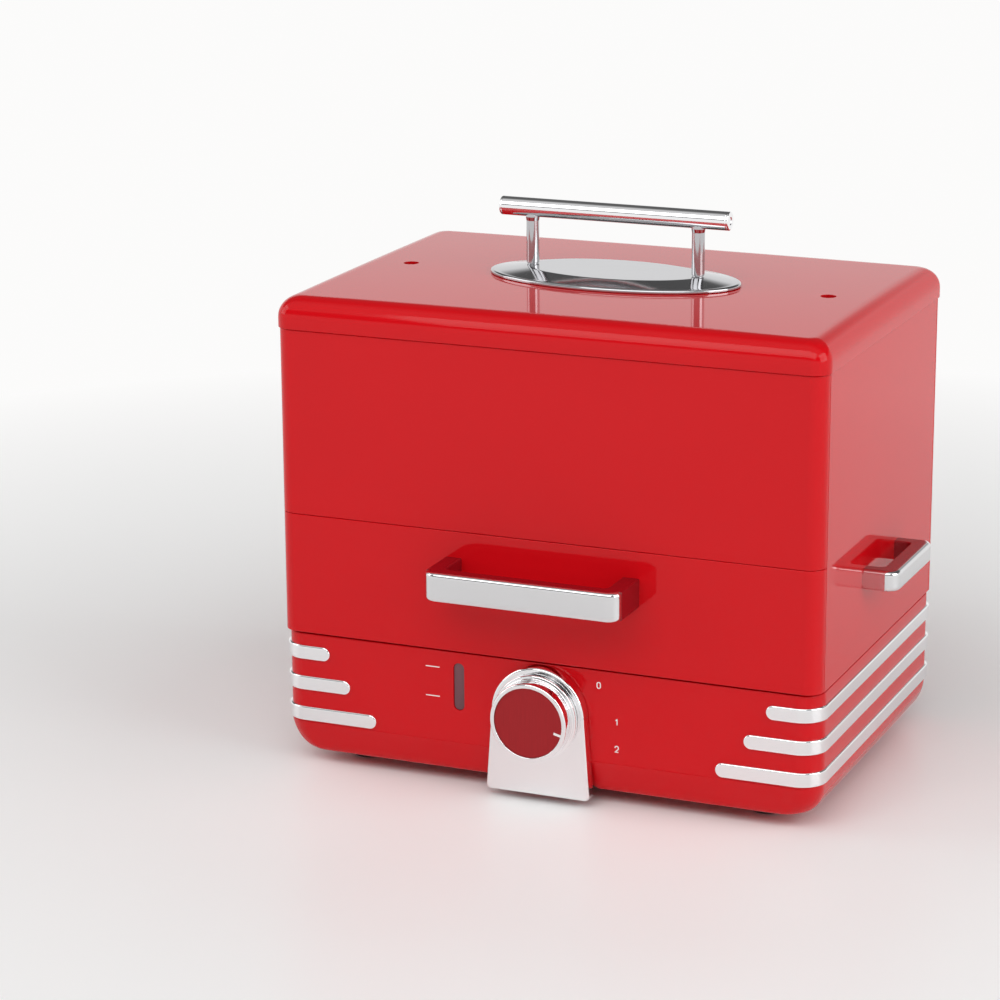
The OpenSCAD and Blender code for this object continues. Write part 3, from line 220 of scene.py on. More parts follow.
class SteamerSizes(PropertyGroup):
    """Sizes of the skins that the solids' boxes don't give."""
    wall: length("Wall", "Thickness of panels, lid and base", 3)
    panel_edge: length("Panel edge", "Rounding of the panels' outer edges", 0.45)
    seam: length("Drawer seam", "Gap between the drawer front and the panel above it", 0.25)
    body_corner: length("Body corner", "Plan radius of the cabinet's corners", 10)
    base_corner: length("Base corner", "Plan radius of the base's corners", 14)
    base_flare: length("Base flare", "How much wider each side of the base shell is than its solid", 1.3)
    base_curve: length("Base curve", "Height of the base's lower curve", 23)
    base_tuck: length("Base tuck", "How far the lower curve goes in at the sides", 15)
    base_lip: length("Base lip", "Step out at the top of the base's lower curve, front and back", 0.4)
    base_taper: length("Base taper", "How far the lower curve slopes in at the front and back", 5)
    base_fillet: length("Base fillet", "How far the slope's foot is rounded off below that", 6)
    base_lift: length("Base lift", "Height of the lower edge above the base's bottom", 3.0)
    dial_notch: length("Dial notch", "Rounding of the base's lower edge beside the dial plate", 8)
    notch_cover: length("Notch cover", "How far the dial plate's foot covers that rounding", 4)
    lid_edge: length("Lid edge", "Radius of the lid's upper edge", 14)
    lid_corner: length("Lid corner", "Plan radius of the lid's corners", 11)
    lid_crown: length("Lid crown", "How far the lid's top falls from its middle to its edge", 1.6)
    vent_radius: length("Vent", "Radius of a steam vent", 4.75)
    vent_place: length("Vent place", "Vents from the middle of the lid", 134)
    stripe_edge: length("Stripe edge", "Rounding of a stripe's face", 1.1)
    stripe_sink: length("Stripe sink", "How much less the stripes stand out than their solids", 0.9)
    stripe_back: length("Stripe back", "Stripe tips on the back from the middle", 137.5)
    arm: length("Handle arm", "Width of a handle's arm", 10.5)
    grip_depth: length("Grip depth", "Depth of a handle's bar with its trim", 11)
    grip_edge: length("Grip edge", "Rounding of a handle's red edges", 1.0)
    trim: length("Trim", "Thickness of a handle's bright trim", 2.6)
    trim_wrap: length("Trim wrap", "How far the trim reaches back round the drawer handle's ends", 7.5)
    side_seat: length("Side seat", "Depth of the side handles' trims in the wall", 2.4)
    trim_edge: length("Trim edge", "Rounding of the trim's edges", 2.2)
    handle_corner: length("Handle corner", "Plan radius of a handle's outer corners", 8)
    dial_edge: length("Dial edge", "Rounding of the dial plate's edge", 1.7)
    dial_corner: length("Dial corner", "Radius of the dial plate's foot corners", 3.2)
    barrel: length("Knob barrel", "Radius of the knob above its skirt", 24)
    knob_dish: length("Knob dish", "Depth of the knob's insert behind its rim", 1.0)
    skirt: length("Knob skirt", "Depth of the knob's skirt", 3.6)
    gauge_recess: length("Gauge recess", "Depth of the gauge window behind the base's front", 0.8)
    mark: length("Mark", "Stroke of the printed marks", 0.6)
    mark_height: length("Mark height", "Height of the dial's numerals", 3.6)


class SteamerColours(PropertyGroup):
    """Colours that a user would change."""
    body_red: colour("Body red", "Base, cabinet, drawer and lid", (0.60, 0.004, 0.008))
    dial_red: colour("Dial red", "Insert in the knob", (0.36, 0.008, 0.012))
    # handle red is painted shade: a darker copy of the body red for grips less lit from above and mirroring
    # darker surroundings
    handle_red: colour("Handle red", "Handles behind their trims", (0.25, 0.005, 0.010))
    chrome: colour("Chrome", "Stripes, trims, dial and lid handle", (0.90, 0.90, 0.91))
    # handle trim is painted shade: a darker copy of the chrome for the darker surroundings the trims mirror
    trim: colour("Handle trim", "Bright trims of the handles", (0.74, 0.735, 0.745))
    # plate is painted shade: a darker copy of the chrome for the dark surroundings the oval plate and posts
    # mirror
    plate: colour("Plate", "Oval plate and posts of the lid's handle", (0.52, 0.52, 0.535))
    smoke: colour("Smoke", "Gauge window", (0.17, 0.065, 0.08))
    marks: colour("Marks", "Printed marks and pointer", (0.88, 0.86, 0.85))
    floor: colour("Floor", "Counter under the steamer", (0.91, 0.91, 0.905))
    backdrop: colour("Backdrop", "Counter far from the steamer, as seen and mirrored", (0.97, 0.965, 0.96))


class SteamerStage(PropertyGroup):
    """Levels of the studio's light."""
    key: FloatProperty(name="Key", description="Power of the front softbox in watts", default=22.5, min=0)
    left: FloatProperty(name="Left", description="Power of the left softbox in watts", default=8.6, min=0)
    right: FloatProperty(name="Right", description="Power of the right softbox in watts", default=20, min=0)
    sky: FloatProperty(name="Sky", description="Strength of the surrounding light", default=0.66, min=0)


class Skin:
    """Points and faces of one piece, gathered patch by patch."""

    def __init__(self):
        self.patches, self.faces, self.size = [], [], 0

    def _add(self, points, faces):
        self.faces += (faces + self.size).tolist()
        self.patches.append(points.reshape(-1, 3))
        self.size += len(self.patches[-1])

    def sheet(self, grid, wrap=False, keep=None):
        """Quads between the neighbours of a rows by columns array of points.

        Wrap joins the last column to the first, and keep masks the cells that stay.
        """
        rows, cols = grid.shape[:2]
        here = np.arange(rows * cols).reshape(rows, cols)
        right = np.roll(here, -1, axis=1)
        quads = np.stack([here[:-1], right[:-1], right[1:], here[1:]], -1)
        if not wrap:
            quads = quads[:, :-1]
        self._add(grid, quads.reshape(-1, 4) if keep is None else quads[keep])
        return self

    def cap(self, ring):
        """One face inside a ring of points."""
        self._add(ring, np.arange(len(ring))[None])
        return self

    def placed(self, place):
        """Send all points through a function of an array of points."""
        self.patches = [place(np.concatenate(self.patches))]
        return self

    def join(self, other):
        """Take in another skin."""
        for patch in other.patches:
            self.patches.append(patch)
        self.faces += [[corner + self.size for corner in face] for face in other.faces]
        self.size += other.size
        return self


class Run:
    """Straight lines joined by arcs in a plane, with the outward normals on the right of the way along.

    An arc of radius r takes r times the tangent of half the turn from each line; its points stand r from a
    centre, and its normals turn evenly from one line's to the next one's.
    """

    def __init__(self, corners, radii, closed=False):
        corners = np.asarray(corners, float)
        radii = np.broadcast_to(radii, len(corners))
        points, normals = [], []
        for i, corner in enumerate(corners):
            ahead = corner - corners[i - 1]
            away = corners[(i + 1) % len(corners)] - corner
            if not closed and i == 0:
                ahead = away
            if not closed and i == len(corners) - 1:
                away = ahead
            ahead = ahead / np.hypot(*ahead)
            turn = math.atan2(ahead[0] * away[1] - ahead[1] * away[0], ahead @ away)
            angle = np.linspace(0, turn, max(1, math.ceil(abs(turn) / ARC_STEP)) + 1)
            if turn == 0:
                angle = np.zeros(1)
            normal = np.stack([ahead[1] * np.cos(angle) + ahead[0] * np.sin(angle),
                               ahead[1] * np.sin(angle) - ahead[0] * np.cos(angle)], 1)
            bulge = math.copysign(radii[i], turn) if turn else 0.0
            start = corner - ahead * radii[i] * math.tan(abs(turn) / 2)
            points.append(start + bulge * (normal - normal[0]))
            normals.append(normal)
        self.points, self.normals = np.concatenate(points), np.concatenate(normals)
        steps = np.hypot(*np.diff(self.points, axis=0).T)
        self.along = np.concatenate([[0.0], np.cumsum(steps)])
        self.length = self.along[-1]

    def carry(self, points, level):
        """Bend flat points onto the run.

        A point is (way from the run's middle, height, stand-off): it goes to the run's point at that way,
        plus the stand-off times the normal there, at the height above level.
        """
        way = points[:, 0] + self.length / 2
        x, y, nx, ny = (np.interp(way, self.along, column) for column in (*self.points.T, *self.normals.T))
        return np.stack([x + points[:, 2] * nx, y + points[:, 2] * ny, points[:, 1] + level], 1)


def grid_lines(marks=()):
    """Lines across a rounded rectangle, as (core, off).

    Core runs from -1 to 1 along the straight part. Off is the square root of two times the sine of angles up
    to 45 degrees, so that the outline's points stand evenly round a corner.
    """
    off = math.sqrt(2) * np.sin(np.linspace(0, math.pi / 4, CORNER_STEPS + 1))
    marks = np.unique(np.round(np.asarray(marks, float), 7))
    marks = marks[np.abs(marks) < 1 - SAME]
    one = np.ones_like(off)
    return np.concatenate([-one, marks, one]), np.concatenate([-off[::-1], 0 * marks, off])


def rounded_grid(half_u, half_v, radius, lines_u, lines_v):
    """Grid that fills a rounded rectangle: u and v arrays.

    Each point is core times (half less radius) plus radius times a direction; in a corner the direction is
    the disc's (a times root(1 - b b / 2), b times root(1 - a a / 2)) of the square's (a, b).
    """
    (core_u, a), (core_v, b) = lines_u, lines_v
    a, b = a[:, None], b[None]
    u = core_u[:, None] * (half_u - radius) + radius * a * np.sqrt(1 - b * b / 2)
    v = core_v[None] * (half_v - radius) + radius * b * np.sqrt(1 - a * a / 2)
    return u, v


def rim(grid):
    """Outline of a grid, once round."""
    return np.concatenate([grid[:, 0], grid[-1, 1:], grid[-2::-1, -1], grid[0, -2:0:-1]])


def levelled(half_u, half_v, radius, level, lines_u, lines_v):
    """A rounded grid at one level, as points."""
    u, v = rounded_grid(half_u, half_v, radius, lines_u, lines_v)
    return np.stack([u, v, np.full_like(u, level)], -1)


def quarter(steps=EDGE_STEPS):
    """Angles of a quarter turn."""
    return np.linspace(0, QUARTER, steps + 1)


def plate_rows(thick, edge, back=REAR_EDGE):
    """(inset, level) rows round a plate: a quarter round of radius edge at its face, a small one behind."""
    t = quarter()
    face = np.stack([edge * (1 - np.sin(t)), -edge * (1 - np.cos(t))], 1)
    rear = np.stack([back * (1 - np.cos(t)), -thick + back * (1 - np.sin(t))], 1)
    return np.concatenate([face, rear])


def slab(half_u, half_v, radius, rows, marks_u=(), marks_v=()):
    """Closed plate of rounded outline: grids fill its first and last rows, and outlines join the rows."""
    lines = grid_lines(marks_u), grid_lines(marks_v)
    grids = [levelled(half_u - inset, half_v - inset, max(radius - inset, LEAST_RADIUS), level, *lines)
             for inset, level in rows]
    skin = Skin().sheet(grids[0]).sheet(grids[-1])
    return skin.sheet(np.stack([rim(grid) for grid in grids]), wrap=True)


def wrapped(run, low, high, thick, edge, corner, stand=0.0):
    """Plate bent along a run, from one height to another, its face standing off the run."""
    half = run.length / 2
    marks = (run.along - half) / (half - corner)
    rows = plate_rows(thick, edge) + [0, stand]
    skin = slab(half, (high - low) / 2, corner, rows, marks)
    return skin.placed(lambda points: run.carry(points, (low + high) / 2))


def prism(run, low, high, edge):
    """Closed outline raised from low to high, both edges rounded.

    Each row is the outline less an inset times its normal.
    """
    t = quarter()
    inset = np.concatenate([edge * (1 - np.sin(t)), edge * (1 - np.cos(t))])
    level = np.concatenate([low + edge * (1 - np.cos(t)), high - edge * (1 - np.sin(t))])
    flat = run.points - inset[:, None, None] * run.normals
    rows = np.concatenate([flat, np.broadcast_to(level[:, None, None], (*flat.shape[:2], 1))], -1)
    return Skin().sheet(rows, wrap=True).cap(rows[0]).cap(rows[-1])


def turned(corners, radii):
    """Profile of (radius, height) corners, each rounded, spun once round the third axis."""
    profile = Run(corners, radii).points
    angle = np.linspace(0, 2 * math.pi, TURN_STEPS, endpoint=False)
    radius, height = np.maximum(profile[:, :1], 0), profile[:, 1:]
    grid = np.stack([radius * np.cos(angle), radius * np.sin(angle), height + 0 * angle], -1)
    return Skin().sheet(grid, wrap=True)


def ribbon(run, width, thick, closed=False):
    """Flat stroke along a run: four corners, half a width to each side and a thickness up, at each point."""
    side = run.normals * width / 2
    flat = np.stack([run.points - side, run.points - side, run.points + side, run.points + side], 1)
    level = np.broadcast_to(np.array([0, thick, thick, 0])[None, :, None], (*flat.shape[:2], 1))
    rows = np.concatenate([flat, level], -1)
    if closed:
        return Skin().sheet(np.concatenate([rows, rows[:1]]), wrap=True)
    return Skin().sheet(rows, wrap=True).cap(rows[0]).cap(rows[-1])


def hole_marks(centre, half, core, reach):
    """Grid lines that a hole needs: even steps over its round part, and one at its reach."""
    steps = np.concatenate([np.linspace(0, half, HOLE_STEPS), [(half + reach) / 2, reach]])
    return np.concatenate([centre - core - steps, centre + core + steps])


def round_hole(u, v, centre, half, core, reach):
    """Turn the square rings of grid lines round a hole into round ones.

    The nearest point of the hole's middle line is taken away. The larger offset m names a square ring, and
    both offsets are scaled by m over their length, which fades to no change at reach.
    """
    du = u - centre[0]
    dv = v - centre[1]
    dv = dv - np.clip(dv, -core, core)
    ring = np.maximum(np.abs(du), np.abs(dv))
    fade = np.clip((reach - ring) / (reach - half), 0, 1)
    pull = fade * (ring / np.maximum(np.hypot(du, dv), GUARD) - 1)
    return u + du * pull, v + dv * pull


def facing_front(x, y, z):
    """Map of (across, up, out) onto a face that looks along minus Y."""
    return lambda p: np.stack([x + p[:, 0], y - p[:, 2], z + p[:, 1]], 1)


def standing(x, y, z=0.0):
    """Map of (x, y, height) onto a place."""
    return lambda p: p + [x, y, z]


LOOKS = {
    "gloss_red": dict(rough=(0.045, 0.075), blotch=7, shade=0.965, grain=260, relief=0.004, ior=1.31),
    # handle_red carries painted shade: its colour is a darker copy of the gloss body red
    "handle_red": dict(rough=(0.05, 0.09), blotch=9, shade=0.93, grain=300, relief=0.004, ior=1.5),
    "satin_red": dict(metallic=0.35, rough=(0.3, 0.4), blotch=240, stretch=(6, 1, 0.25), shade=0.86,
                      grain=900, relief=0.02, ior=1.45),
    "bright_trim": dict(metallic=1.0, rough=(0.05, 0.09), blotch=18, shade=0.965, grain=500, relief=0.003),
    # painted shade: the handle trims' chrome in a darker tone, standing in for darker mirrored surroundings
    "handle_trim": dict(metallic=1.0, rough=(0.06, 0.1), blotch=18, shade=0.95, grain=500, relief=0.003),
    # painted shade: the lid plate's chrome in a darker tone, standing in for darker mirrored surroundings
    "plate_trim": dict(metallic=1.0, rough=(0.07, 0.12), blotch=18, shade=0.95, grain=500, relief=0.003),
    "gauge_smoke": dict(rough=(0.08, 0.14), blotch=60, stretch=(1, 1, 0.5), shade=0.72, grain=300,
                        relief=0.004),
    "tray_aluminium": dict(metallic=1.0, rough=(0.26, 0.4), blotch=160, stretch=(0.08, 1, 1), shade=0.86,
                           grain=900, relief=0.02),
    "zinc_steel": dict(metallic=1.0, rough=(0.24, 0.36), blotch=120, shade=0.82, grain=700, relief=0.02),
    "heater_sheath": dict(metallic=0.8, rough=(0.4, 0.6), blotch=90, shade=0.6, grain=800, relief=0.03),
    "brass_nut": dict(metallic=1.0, rough=(0.22, 0.34), blotch=200, shade=0.82, grain=900, relief=0.015),
    "black_rubber": dict(rough=(0.6, 0.75), blotch=140, shade=0.7, grain=1200, relief=0.05),
    "grey_paint": dict(rough=(0.42, 0.55), blotch=80, shade=0.85, grain=1500, relief=0.06),
    "white_plastic": dict(rough=(0.35, 0.45), blotch=50, shade=0.93, grain=900, relief=0.02),
    "brown_moulding": dict(rough=(0.4, 0.5), blotch=120, shade=0.75, grain=800, relief=0.03),
    "lead_sleeve": dict(rough=(0.5, 0.65), blotch=220, shade=0.8, grain=1500, relief=0.06),
    "white_paint": dict(rough=(0.4, 0.5), blotch=160, shade=0.94, grain=900, relief=0.02),
}


def slot_colour(slot):
    """Colour of a slot: a user's where there is one, and the record's otherwise."""
    colours = bpy.context.scene.steamer_colours
    chosen = {"gloss_red": colours.body_red, "satin_red": colours.dial_red, "bright_trim": colours.chrome,
              "gauge_smoke": colours.smoke, "white_paint": colours.marks, "handle_red": colours.handle_red,
              "handle_trim": colours.trim, "plate_trim": colours.plate}
    return tuple(chosen.get(slot) or SLOT_COLOUR[slot])


def add_node(tree, kind, **sockets):
    """A shader node, each named socket linked to an output or set to a constant."""
    node = tree.nodes.new("ShaderNode" + kind)
    for name, value in sockets.items():
        socket = node.inputs[name.replace("_", " ")]
        if isinstance(value, bpy.types.NodeSocket):
            tree.links.new(value, socket)
        else:
            socket.default_value = value
    return node


def surface(name, tone, metallic=0.0, rough=(0.4, 0.5), blotch=50, stretch=(1, 1, 1), shade=0.9, grain=500,
            relief=0.01, ior=1.45):
    """Node finish on Object coordinates.

    A broad noise, stretched where the finish is brushed, drifts the colour between the tone and a shade of it
    and the roughness between two levels; a fine noise lifts the surface.
    """
    material = bpy.data.materials.new(name)
    material.use_nodes = True
    tree = material.node_tree
    shader = tree.nodes["Principled BSDF"]
    shader.inputs["Metallic"].default_value = metallic
    shader.inputs["IOR"].default_value = ior
    where = add_node(tree, "TexCoord").outputs["Object"]
    brushed = add_node(tree, "Mapping", Vector=where, Scale=stretch).outputs["Vector"]
    drift = add_node(tree, "TexNoise", Vector=brushed, Scale=blotch, Detail=BROAD_DETAIL).outputs["Fac"]
    tint = add_node(tree, "ValToRGB", Fac=drift)
    shades = ([shade * value for value in tone], tone)
    for point, position, level in zip(tint.color_ramp.elements, NOISE_SPAN, shades):
        point.position, point.color = position, (*level, 1)
    gloss = add_node(tree, "MapRange", Value=drift, From_Min=NOISE_SPAN[0], From_Max=NOISE_SPAN[1],
                     To_Min=rough[0], To_Max=rough[1])
    fine = add_node(tree, "TexNoise", Vector=brushed, Scale=grain, Detail=FINE_DETAIL)
    lift = add_node(tree, "Bump", Height=fine.outputs["Fac"], Strength=relief, Distance=BUMP_DEPTH)
    tree.links.new(tint.outputs["Color"], shader.inputs["Base Color"])
    tree.links.new(gloss.outputs["Result"], shader.inputs["Roughness"])
    tree.links.new(lift.outputs["Normal"], shader.inputs["Normal"])
    return material


def finish(slot):
    """Material of a record slot, or of a shade of one, made once."""
    name = "finish_" + slot
    return bpy.data.materials.get(name) or surface(name, slot_colour(slot), **LOOKS[slot])


def add_piece(name, body, slot, skin, nodes=(), look=None):
    """Put a skin into the scene: doubles merged, faces outward, smooth but for its sharp edges.

    Look names another finish than the slot's own.
    """
    mesh = bpy.data.meshes.new(name)
    mesh.from_pydata(np.concatenate(skin.patches).tolist(), [], skin.faces)
    work = bmesh.new()
    work.from_mesh(mesh)
    bmesh.ops.remove_doubles(work, verts=work.verts, dist=MERGE)
    bmesh.ops.recalc_face_normals(work, faces=work.faces)
    work.to_mesh(mesh)
    work.free()
    mesh.polygons.foreach_set("use_smooth", np.ones(len(mesh.polygons), bool))
    mesh.set_sharp_from_angle(angle=SMOOTH_ANGLE)
    mesh.materials.append(finish(look or slot))
    piece = bpy.data.objects.new(name, mesh)
    bpy.context.collection.objects.link(piece)
    flatten = piece.modifiers.new("Weighted normals", "WEIGHTED_NORMAL")
    flatten.keep_sharp = True
    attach(piece, body)
    if nodes:
        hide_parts(*nodes)


def pierce(points, outer, inner, cols):
    """Hole through two walls of a ring of rows: the tunnel between the blocks, and the cells to drop."""
    tunnel = np.stack([rim(points[np.ix_(outer, cols)]), rim(points[np.ix_(inner, cols)])])
    drop = np.zeros((len(points) - 1, points.shape[1]), bool)
    for rows in (outer, inner):
        drop[np.ix_(np.sort(rows)[:-1], np.sort(cols)[:-1])] = True
    return tunnel, drop


def base_rows(half, low, top, sizes, heights, recess, opening):
    """(half width, half depth, corner radius, height) rows once round the base's wall.

    Over the rounded top edge, down the wall, round the lower curve, in along the bottom to the plate's
    recess, up through its ledge, and back along the inside. The lower curve falls by the sine of an angle:
    at the sides it goes in by one less its cosine, and at the front and back, after a small step out, by the
    sine plus the fourth power of one less the cosine.
    """
    t, curve = quarter(), np.insert(quarter(CURVE_STEPS), 1, CREASE)
    wall, corner, tall = sizes.wall, sizes.base_corner, sizes.base_curve
    bow = 1 - np.cos(curve)
    slope = sizes.base_taper * np.sin(curve) + sizes.base_fillet * bow ** 4
    slope[1:] -= sizes.base_lip
    tuck = np.stack([sizes.base_tuck * bow, slope], 1)
    straight = [wall, wall - RIM_EDGE, *(BASE_EDGE * (1 - np.sin(t[:-1])))]
    level = [top - RIM_EDGE, top, *(top - BASE_EDGE * (1 - np.cos(t[:-1])))]
    first_outer = len(straight)
    straight += [0.0] * len(heights)
    inset = np.concatenate([np.stack([straight, straight], 1), tuck])
    level += [*heights, *(low + tall - (tall - sizes.base_lift) * np.sin(curve))]
    rows = [(*(half[:2] - i), corner, z) for i, z in zip(inset, level)]
    step, ledge = low + LEDGE_STEP, low + 2 * LEDGE_STEP
    rows += [(*recess, corner / 2, low), (*recess, corner / 2, step), (*opening, corner / 2, step),
             (*opening, corner / 2, ledge)]
    inset = np.concatenate([wall + tuck[::-1], np.full((len(heights) + 1, 2), wall)])
    level = [*(low + tall - (tall - 2 * LEDGE_STEP) * np.sin(curve[::-1])), *heights[::-1], top - RIM_EDGE]
    first_inner = len(rows) + CURVE_ROWS
    rows += [(*(half[:2] - i), corner - wall, z) for i, z in zip(inset, level)]
    return rows, first_outer, first_inner


def build_base(sizes):
    """Base shell with the gauge's slot and the cord's hole, and the block behind the dial's foot."""
    low, high = box("base_housing")
    half, mid = (high - low) / 2 + [sizes.base_flare, 0, 0], (high + low) / 2
    plate_low, plate_high = box("base_bottom_plate")
    plate = (plate_high - plate_low)[:2] / 2
    gland_low, gland_high = box("cord_gland")
    cord = ((gland_low + gland_high) / 2)[[0, 2]]
    slot = (mid[0] - GAUGE_PLACE, high[2] - GAUGE_DROP - GAUGE_HALF_HEIGHT)
    holes = ((slot, GAUGE_HALF_WIDTH, GAUGE_HALF_HEIGHT - GAUGE_HALF_WIDTH, -1), (cord, CORD_HOLE, 0.0, 1))
    straight = half[0] - sizes.base_corner
    marks = [hole_marks(centre[0], hole, 0, hole + HOLE_MARGIN) for centre, hole, core, sign in holes]
    marks += [notch_marks(sizes), np.linspace(-straight, straight, BASE_LINES[0])]
    heights = [hole_marks(centre[1], hole, core, hole + HOLE_MARGIN) for centre, hole, core, sign in holes]
    heights = np.unique(np.round(np.concatenate([*heights, [high[2] - BASE_EDGE]]), 6))[::-1]
    rows, outer, inner = base_rows(half, low[2], high[2], sizes, heights, plate + PLATE_PLAY,
                                   plate - LEDGE_WIDTH)
    lines = grid_lines(np.concatenate(marks) / straight), grid_lines(np.linspace(-1, 1, BASE_LINES[1]))
    points = np.stack([rim(levelled(*row, *lines)) for row in rows])
    points[..., :2] += mid[:2]
    notch_edge(points[outer:inner - CURVE_ROWS], mid[1] - half[1], low[2], sizes)
    outer_rows = outer + np.arange(len(heights))
    inner_rows = inner + np.arange(len(heights))[::-1]
    shell, gone = Skin(), np.zeros((len(points) - 1, points.shape[1]), bool)
    for centre, hole, core, sign in holes:
        wall = sign * (points[outer, :, 1] - mid[1]) > half[1] - SAME
        cols = np.flatnonzero(wall & (np.abs(points[outer, :, 0] - centre[0]) < hole + SAME))
        for band in (outer_rows, inner_rows):
            near = np.ix_(band, np.flatnonzero(wall))
            x, y, z = np.moveaxis(points[near], -1, 0)
            x, z = round_hole(x, z, centre, hole, core, hole + HOLE_MARGIN)
            points[near] = np.stack([x, y, z], -1)
        inside = np.abs(heights - centre[1]) < hole + core + SAME
        tunnel, cut = pierce(points, outer_rows[inside], inner_rows[inside], cols)
        shell.sheet(tunnel, wrap=True)
        gone |= cut
    shell.sheet(points, wrap=True, keep=~gone)
    add_piece("base_shell", "base", "gloss_red", shell, ["base_housing"])
    foot = Run([(-BACKING_HALF, low[1]), (BACKING_HALF, low[1])], 0)
    backing = wrapped(foot, low[2], low[2] + sizes.base_curve + BACKING_RISE, sizes.base_curve, BACKING_EDGE,
                      BACKING_CORNER)
    add_piece("dial_backing", "base", "gloss_red", backing, ["base_housing"])


def notch_marks(sizes):
    """Grid lines across the rounding of the base's lower edge on both sides of the dial plate."""
    foot = box("dial_plate")[1][0] - sizes.notch_cover
    steps = foot + sizes.dial_notch * np.sin(quarter(NOTCH_STEPS))
    return np.concatenate([-steps, steps])


def notch_edge(points, front, low, sizes):
    """Lift the base's lower curve towards the dial plate.

    Heights below the curve's top are scaled about it, so that the edge rises from low by the notch radius
    less the root of its square minus the square of the way into the notch.
    """
    crease = low + sizes.base_curve
    foot, radius = box("dial_plate")[1][0] - sizes.notch_cover, sizes.dial_notch
    into = np.clip(foot + radius - np.abs(points[0, :, 0]), 0, radius)
    rise = (radius - np.sqrt(radius ** 2 - into ** 2)) * (points[0, :, 1] < front + SAME)
    below = np.minimum(points[..., 2] - crease, 0)
    points[..., 2] -= below * rise / sizes.base_curve


def build_feet():
    """Turned feet with a step for their rubber pads."""
    low, high = box("feet")
    pad_low, pad_high = box("foot_pads")
    bottom, seat, top = low[2], low[2] + PAD_BED, high[2] + FOOT_RISE
    feet, pads = Skin(), Skin()
    for x in (low[0] + FOOT_SOLID, high[0] - FOOT_SOLID):
        for y in (low[1] + FOOT_SOLID, high[1] - FOOT_SOLID):
            foot = turned([(0, seat), (PAD_RADIUS, seat), (PAD_RADIUS, bottom), (FOOT_RADIUS, bottom),
                           (FOOT_RADIUS, top), (0, top)], FOOT_ROUNDS)
            feet.join(foot.placed(standing(x, y)))
            rubber = turned([(0, pad_low[2]), (PAD_RADIUS, pad_low[2]), (PAD_RADIUS, pad_high[2]),
                             (0, pad_high[2])], PAD_ROUNDS)
            pads.join(rubber.placed(standing(x, y)))
    add_piece("feet_turned", "base", "gloss_red", feet, ["feet"])
    add_piece("foot_pads_turned", "base", "black_rubber", pads, ["foot_pads"])


def build_stripes(sizes):
    """Bright stripes: round-ended slabs bent along the base's plan, from the front to the back."""
    base_low, base_high = box("base_housing")
    for side, sign in SIDES:
        wall = sign * (base_high[0] + sizes.base_flare)
        for rank in ("upper", "middle", "lower"):
            node = f"stripe_{side}_{rank}"
            low, high = box(node)
            tip, face = (low[0], high[0]) if sign > 0 else (high[0], low[0])
            corners = [(tip, base_low[1]), (wall, base_low[1]), (wall, base_high[1]),
                       (sign * sizes.stripe_back, base_high[1])]
            run = Run(corners[::sign], [0, sizes.base_corner, sizes.base_corner, 0])
            stand = sign * face - base_high[0] - sizes.stripe_sink
            end = (high[2] - low[2]) / 2
            bar = wrapped(run, low[2], high[2], stand + STRIPE_SEAT, sizes.stripe_edge, end, stand)
            add_piece(node + "_bar", "base", "bright_trim", bar, [node])


def build_dial(sizes):
    """Dial plate: an arch over flared sides and rounded foot corners, raised with a rounded edge."""
    low, high = box("dial_plate")
    knob_low, knob_high = box("knob_body")
    centre = (knob_low[2] + knob_high[2]) / 2
    arch, foot = high[2] - centre, high[0]
    right = [(foot, low[2]), (arch, centre), (arch, high[2])]
    left = [(-u, v) for u, v in right[::-1]]
    radii = [sizes.dial_corner, DIAL_FLARE, arch]
    run = Run(right + left, radii + radii[::-1], closed=True)
    plate = prism(run, 0, high[1] - low[1], sizes.dial_edge)
    add_piece("dial_arch", "base", "bright_trim", plate.placed(facing_front(0, high[1], 0)), ["dial_plate"])


def build_knob(sizes):
    """Knob turned from one profile, its red insert, and the pointer bar."""
    low, high = box("knob_body")
    face_high = box("knob_face")[1]
    mark_low, mark_high = box("knob_pointer")
    centre = (low[2] + high[2]) / 2
    skirt, barrel, face = high[0], sizes.barrel, face_high[0]
    front, step, floor = high[1] - low[1], sizes.skirt, high[1] - face_high[1]
    top = front - sizes.knob_dish
    place = facing_front(0, high[1], centre)
    body = turned([(0, 0), (skirt, 0), (skirt, step), (barrel, step), (barrel, front), (face, front),
                   (face, floor), (0, floor)], KNOB_ROUNDS)
    add_piece("knob_turned", "knob", "bright_trim", body.placed(place), ["knob_body"])
    side = face - FIT
    insert = turned([(0, floor), (side, floor), (side, top), (0, top + INSERT_CROWN)], INSERT_ROUNDS)
    add_piece("knob_insert", "knob", "satin_red", insert.placed(place), ["knob_face"])
    middle = (mark_low + mark_high) / 2
    start = np.array([0, centre])
    way = middle[[0, 2]] - start
    way = way / np.hypot(*way)
    bar = ribbon(Run([start + way * reach for reach in POINTER], 0), *POINTER_SIZE)
    add_piece("knob_pointer_bar", "knob", "white_paint",
              bar.placed(facing_front(0, high[1] - top + POINTER_SINK, 0)), ["knob_pointer"])


def build_gauge(sizes):
    """Gauge window in its slot, with two level lines beside it."""
    low, high = box("base_housing")
    pane = slab(GAUGE_HALF_WIDTH - FIT, GAUGE_HALF_HEIGHT - FIT, GAUGE_HALF_WIDTH - FIT,
                plate_rows(sizes.wall + PANE_PAST_WALL, PANE_EDGE))
    middle = high[2] - GAUGE_DROP - GAUGE_HALF_HEIGHT
    add_piece("gauge_pane", "base", "gauge_smoke",
              pane.placed(facing_front(-GAUGE_PLACE, low[1] + sizes.gauge_recess, middle)), ["gauge_window"])
    lines = Skin()
    for height in LEVELS:
        line = slab(LEVEL_HALF, sizes.mark / 2, sizes.mark / 2, plate_rows(PRINT, *PRINT_EDGES))
        lines.join(line.placed(facing_front(-LEVEL_PLACE, low[1] - LEVEL_LIFT, height)))
    add_piece("level_lines", "base", "white_paint", lines)


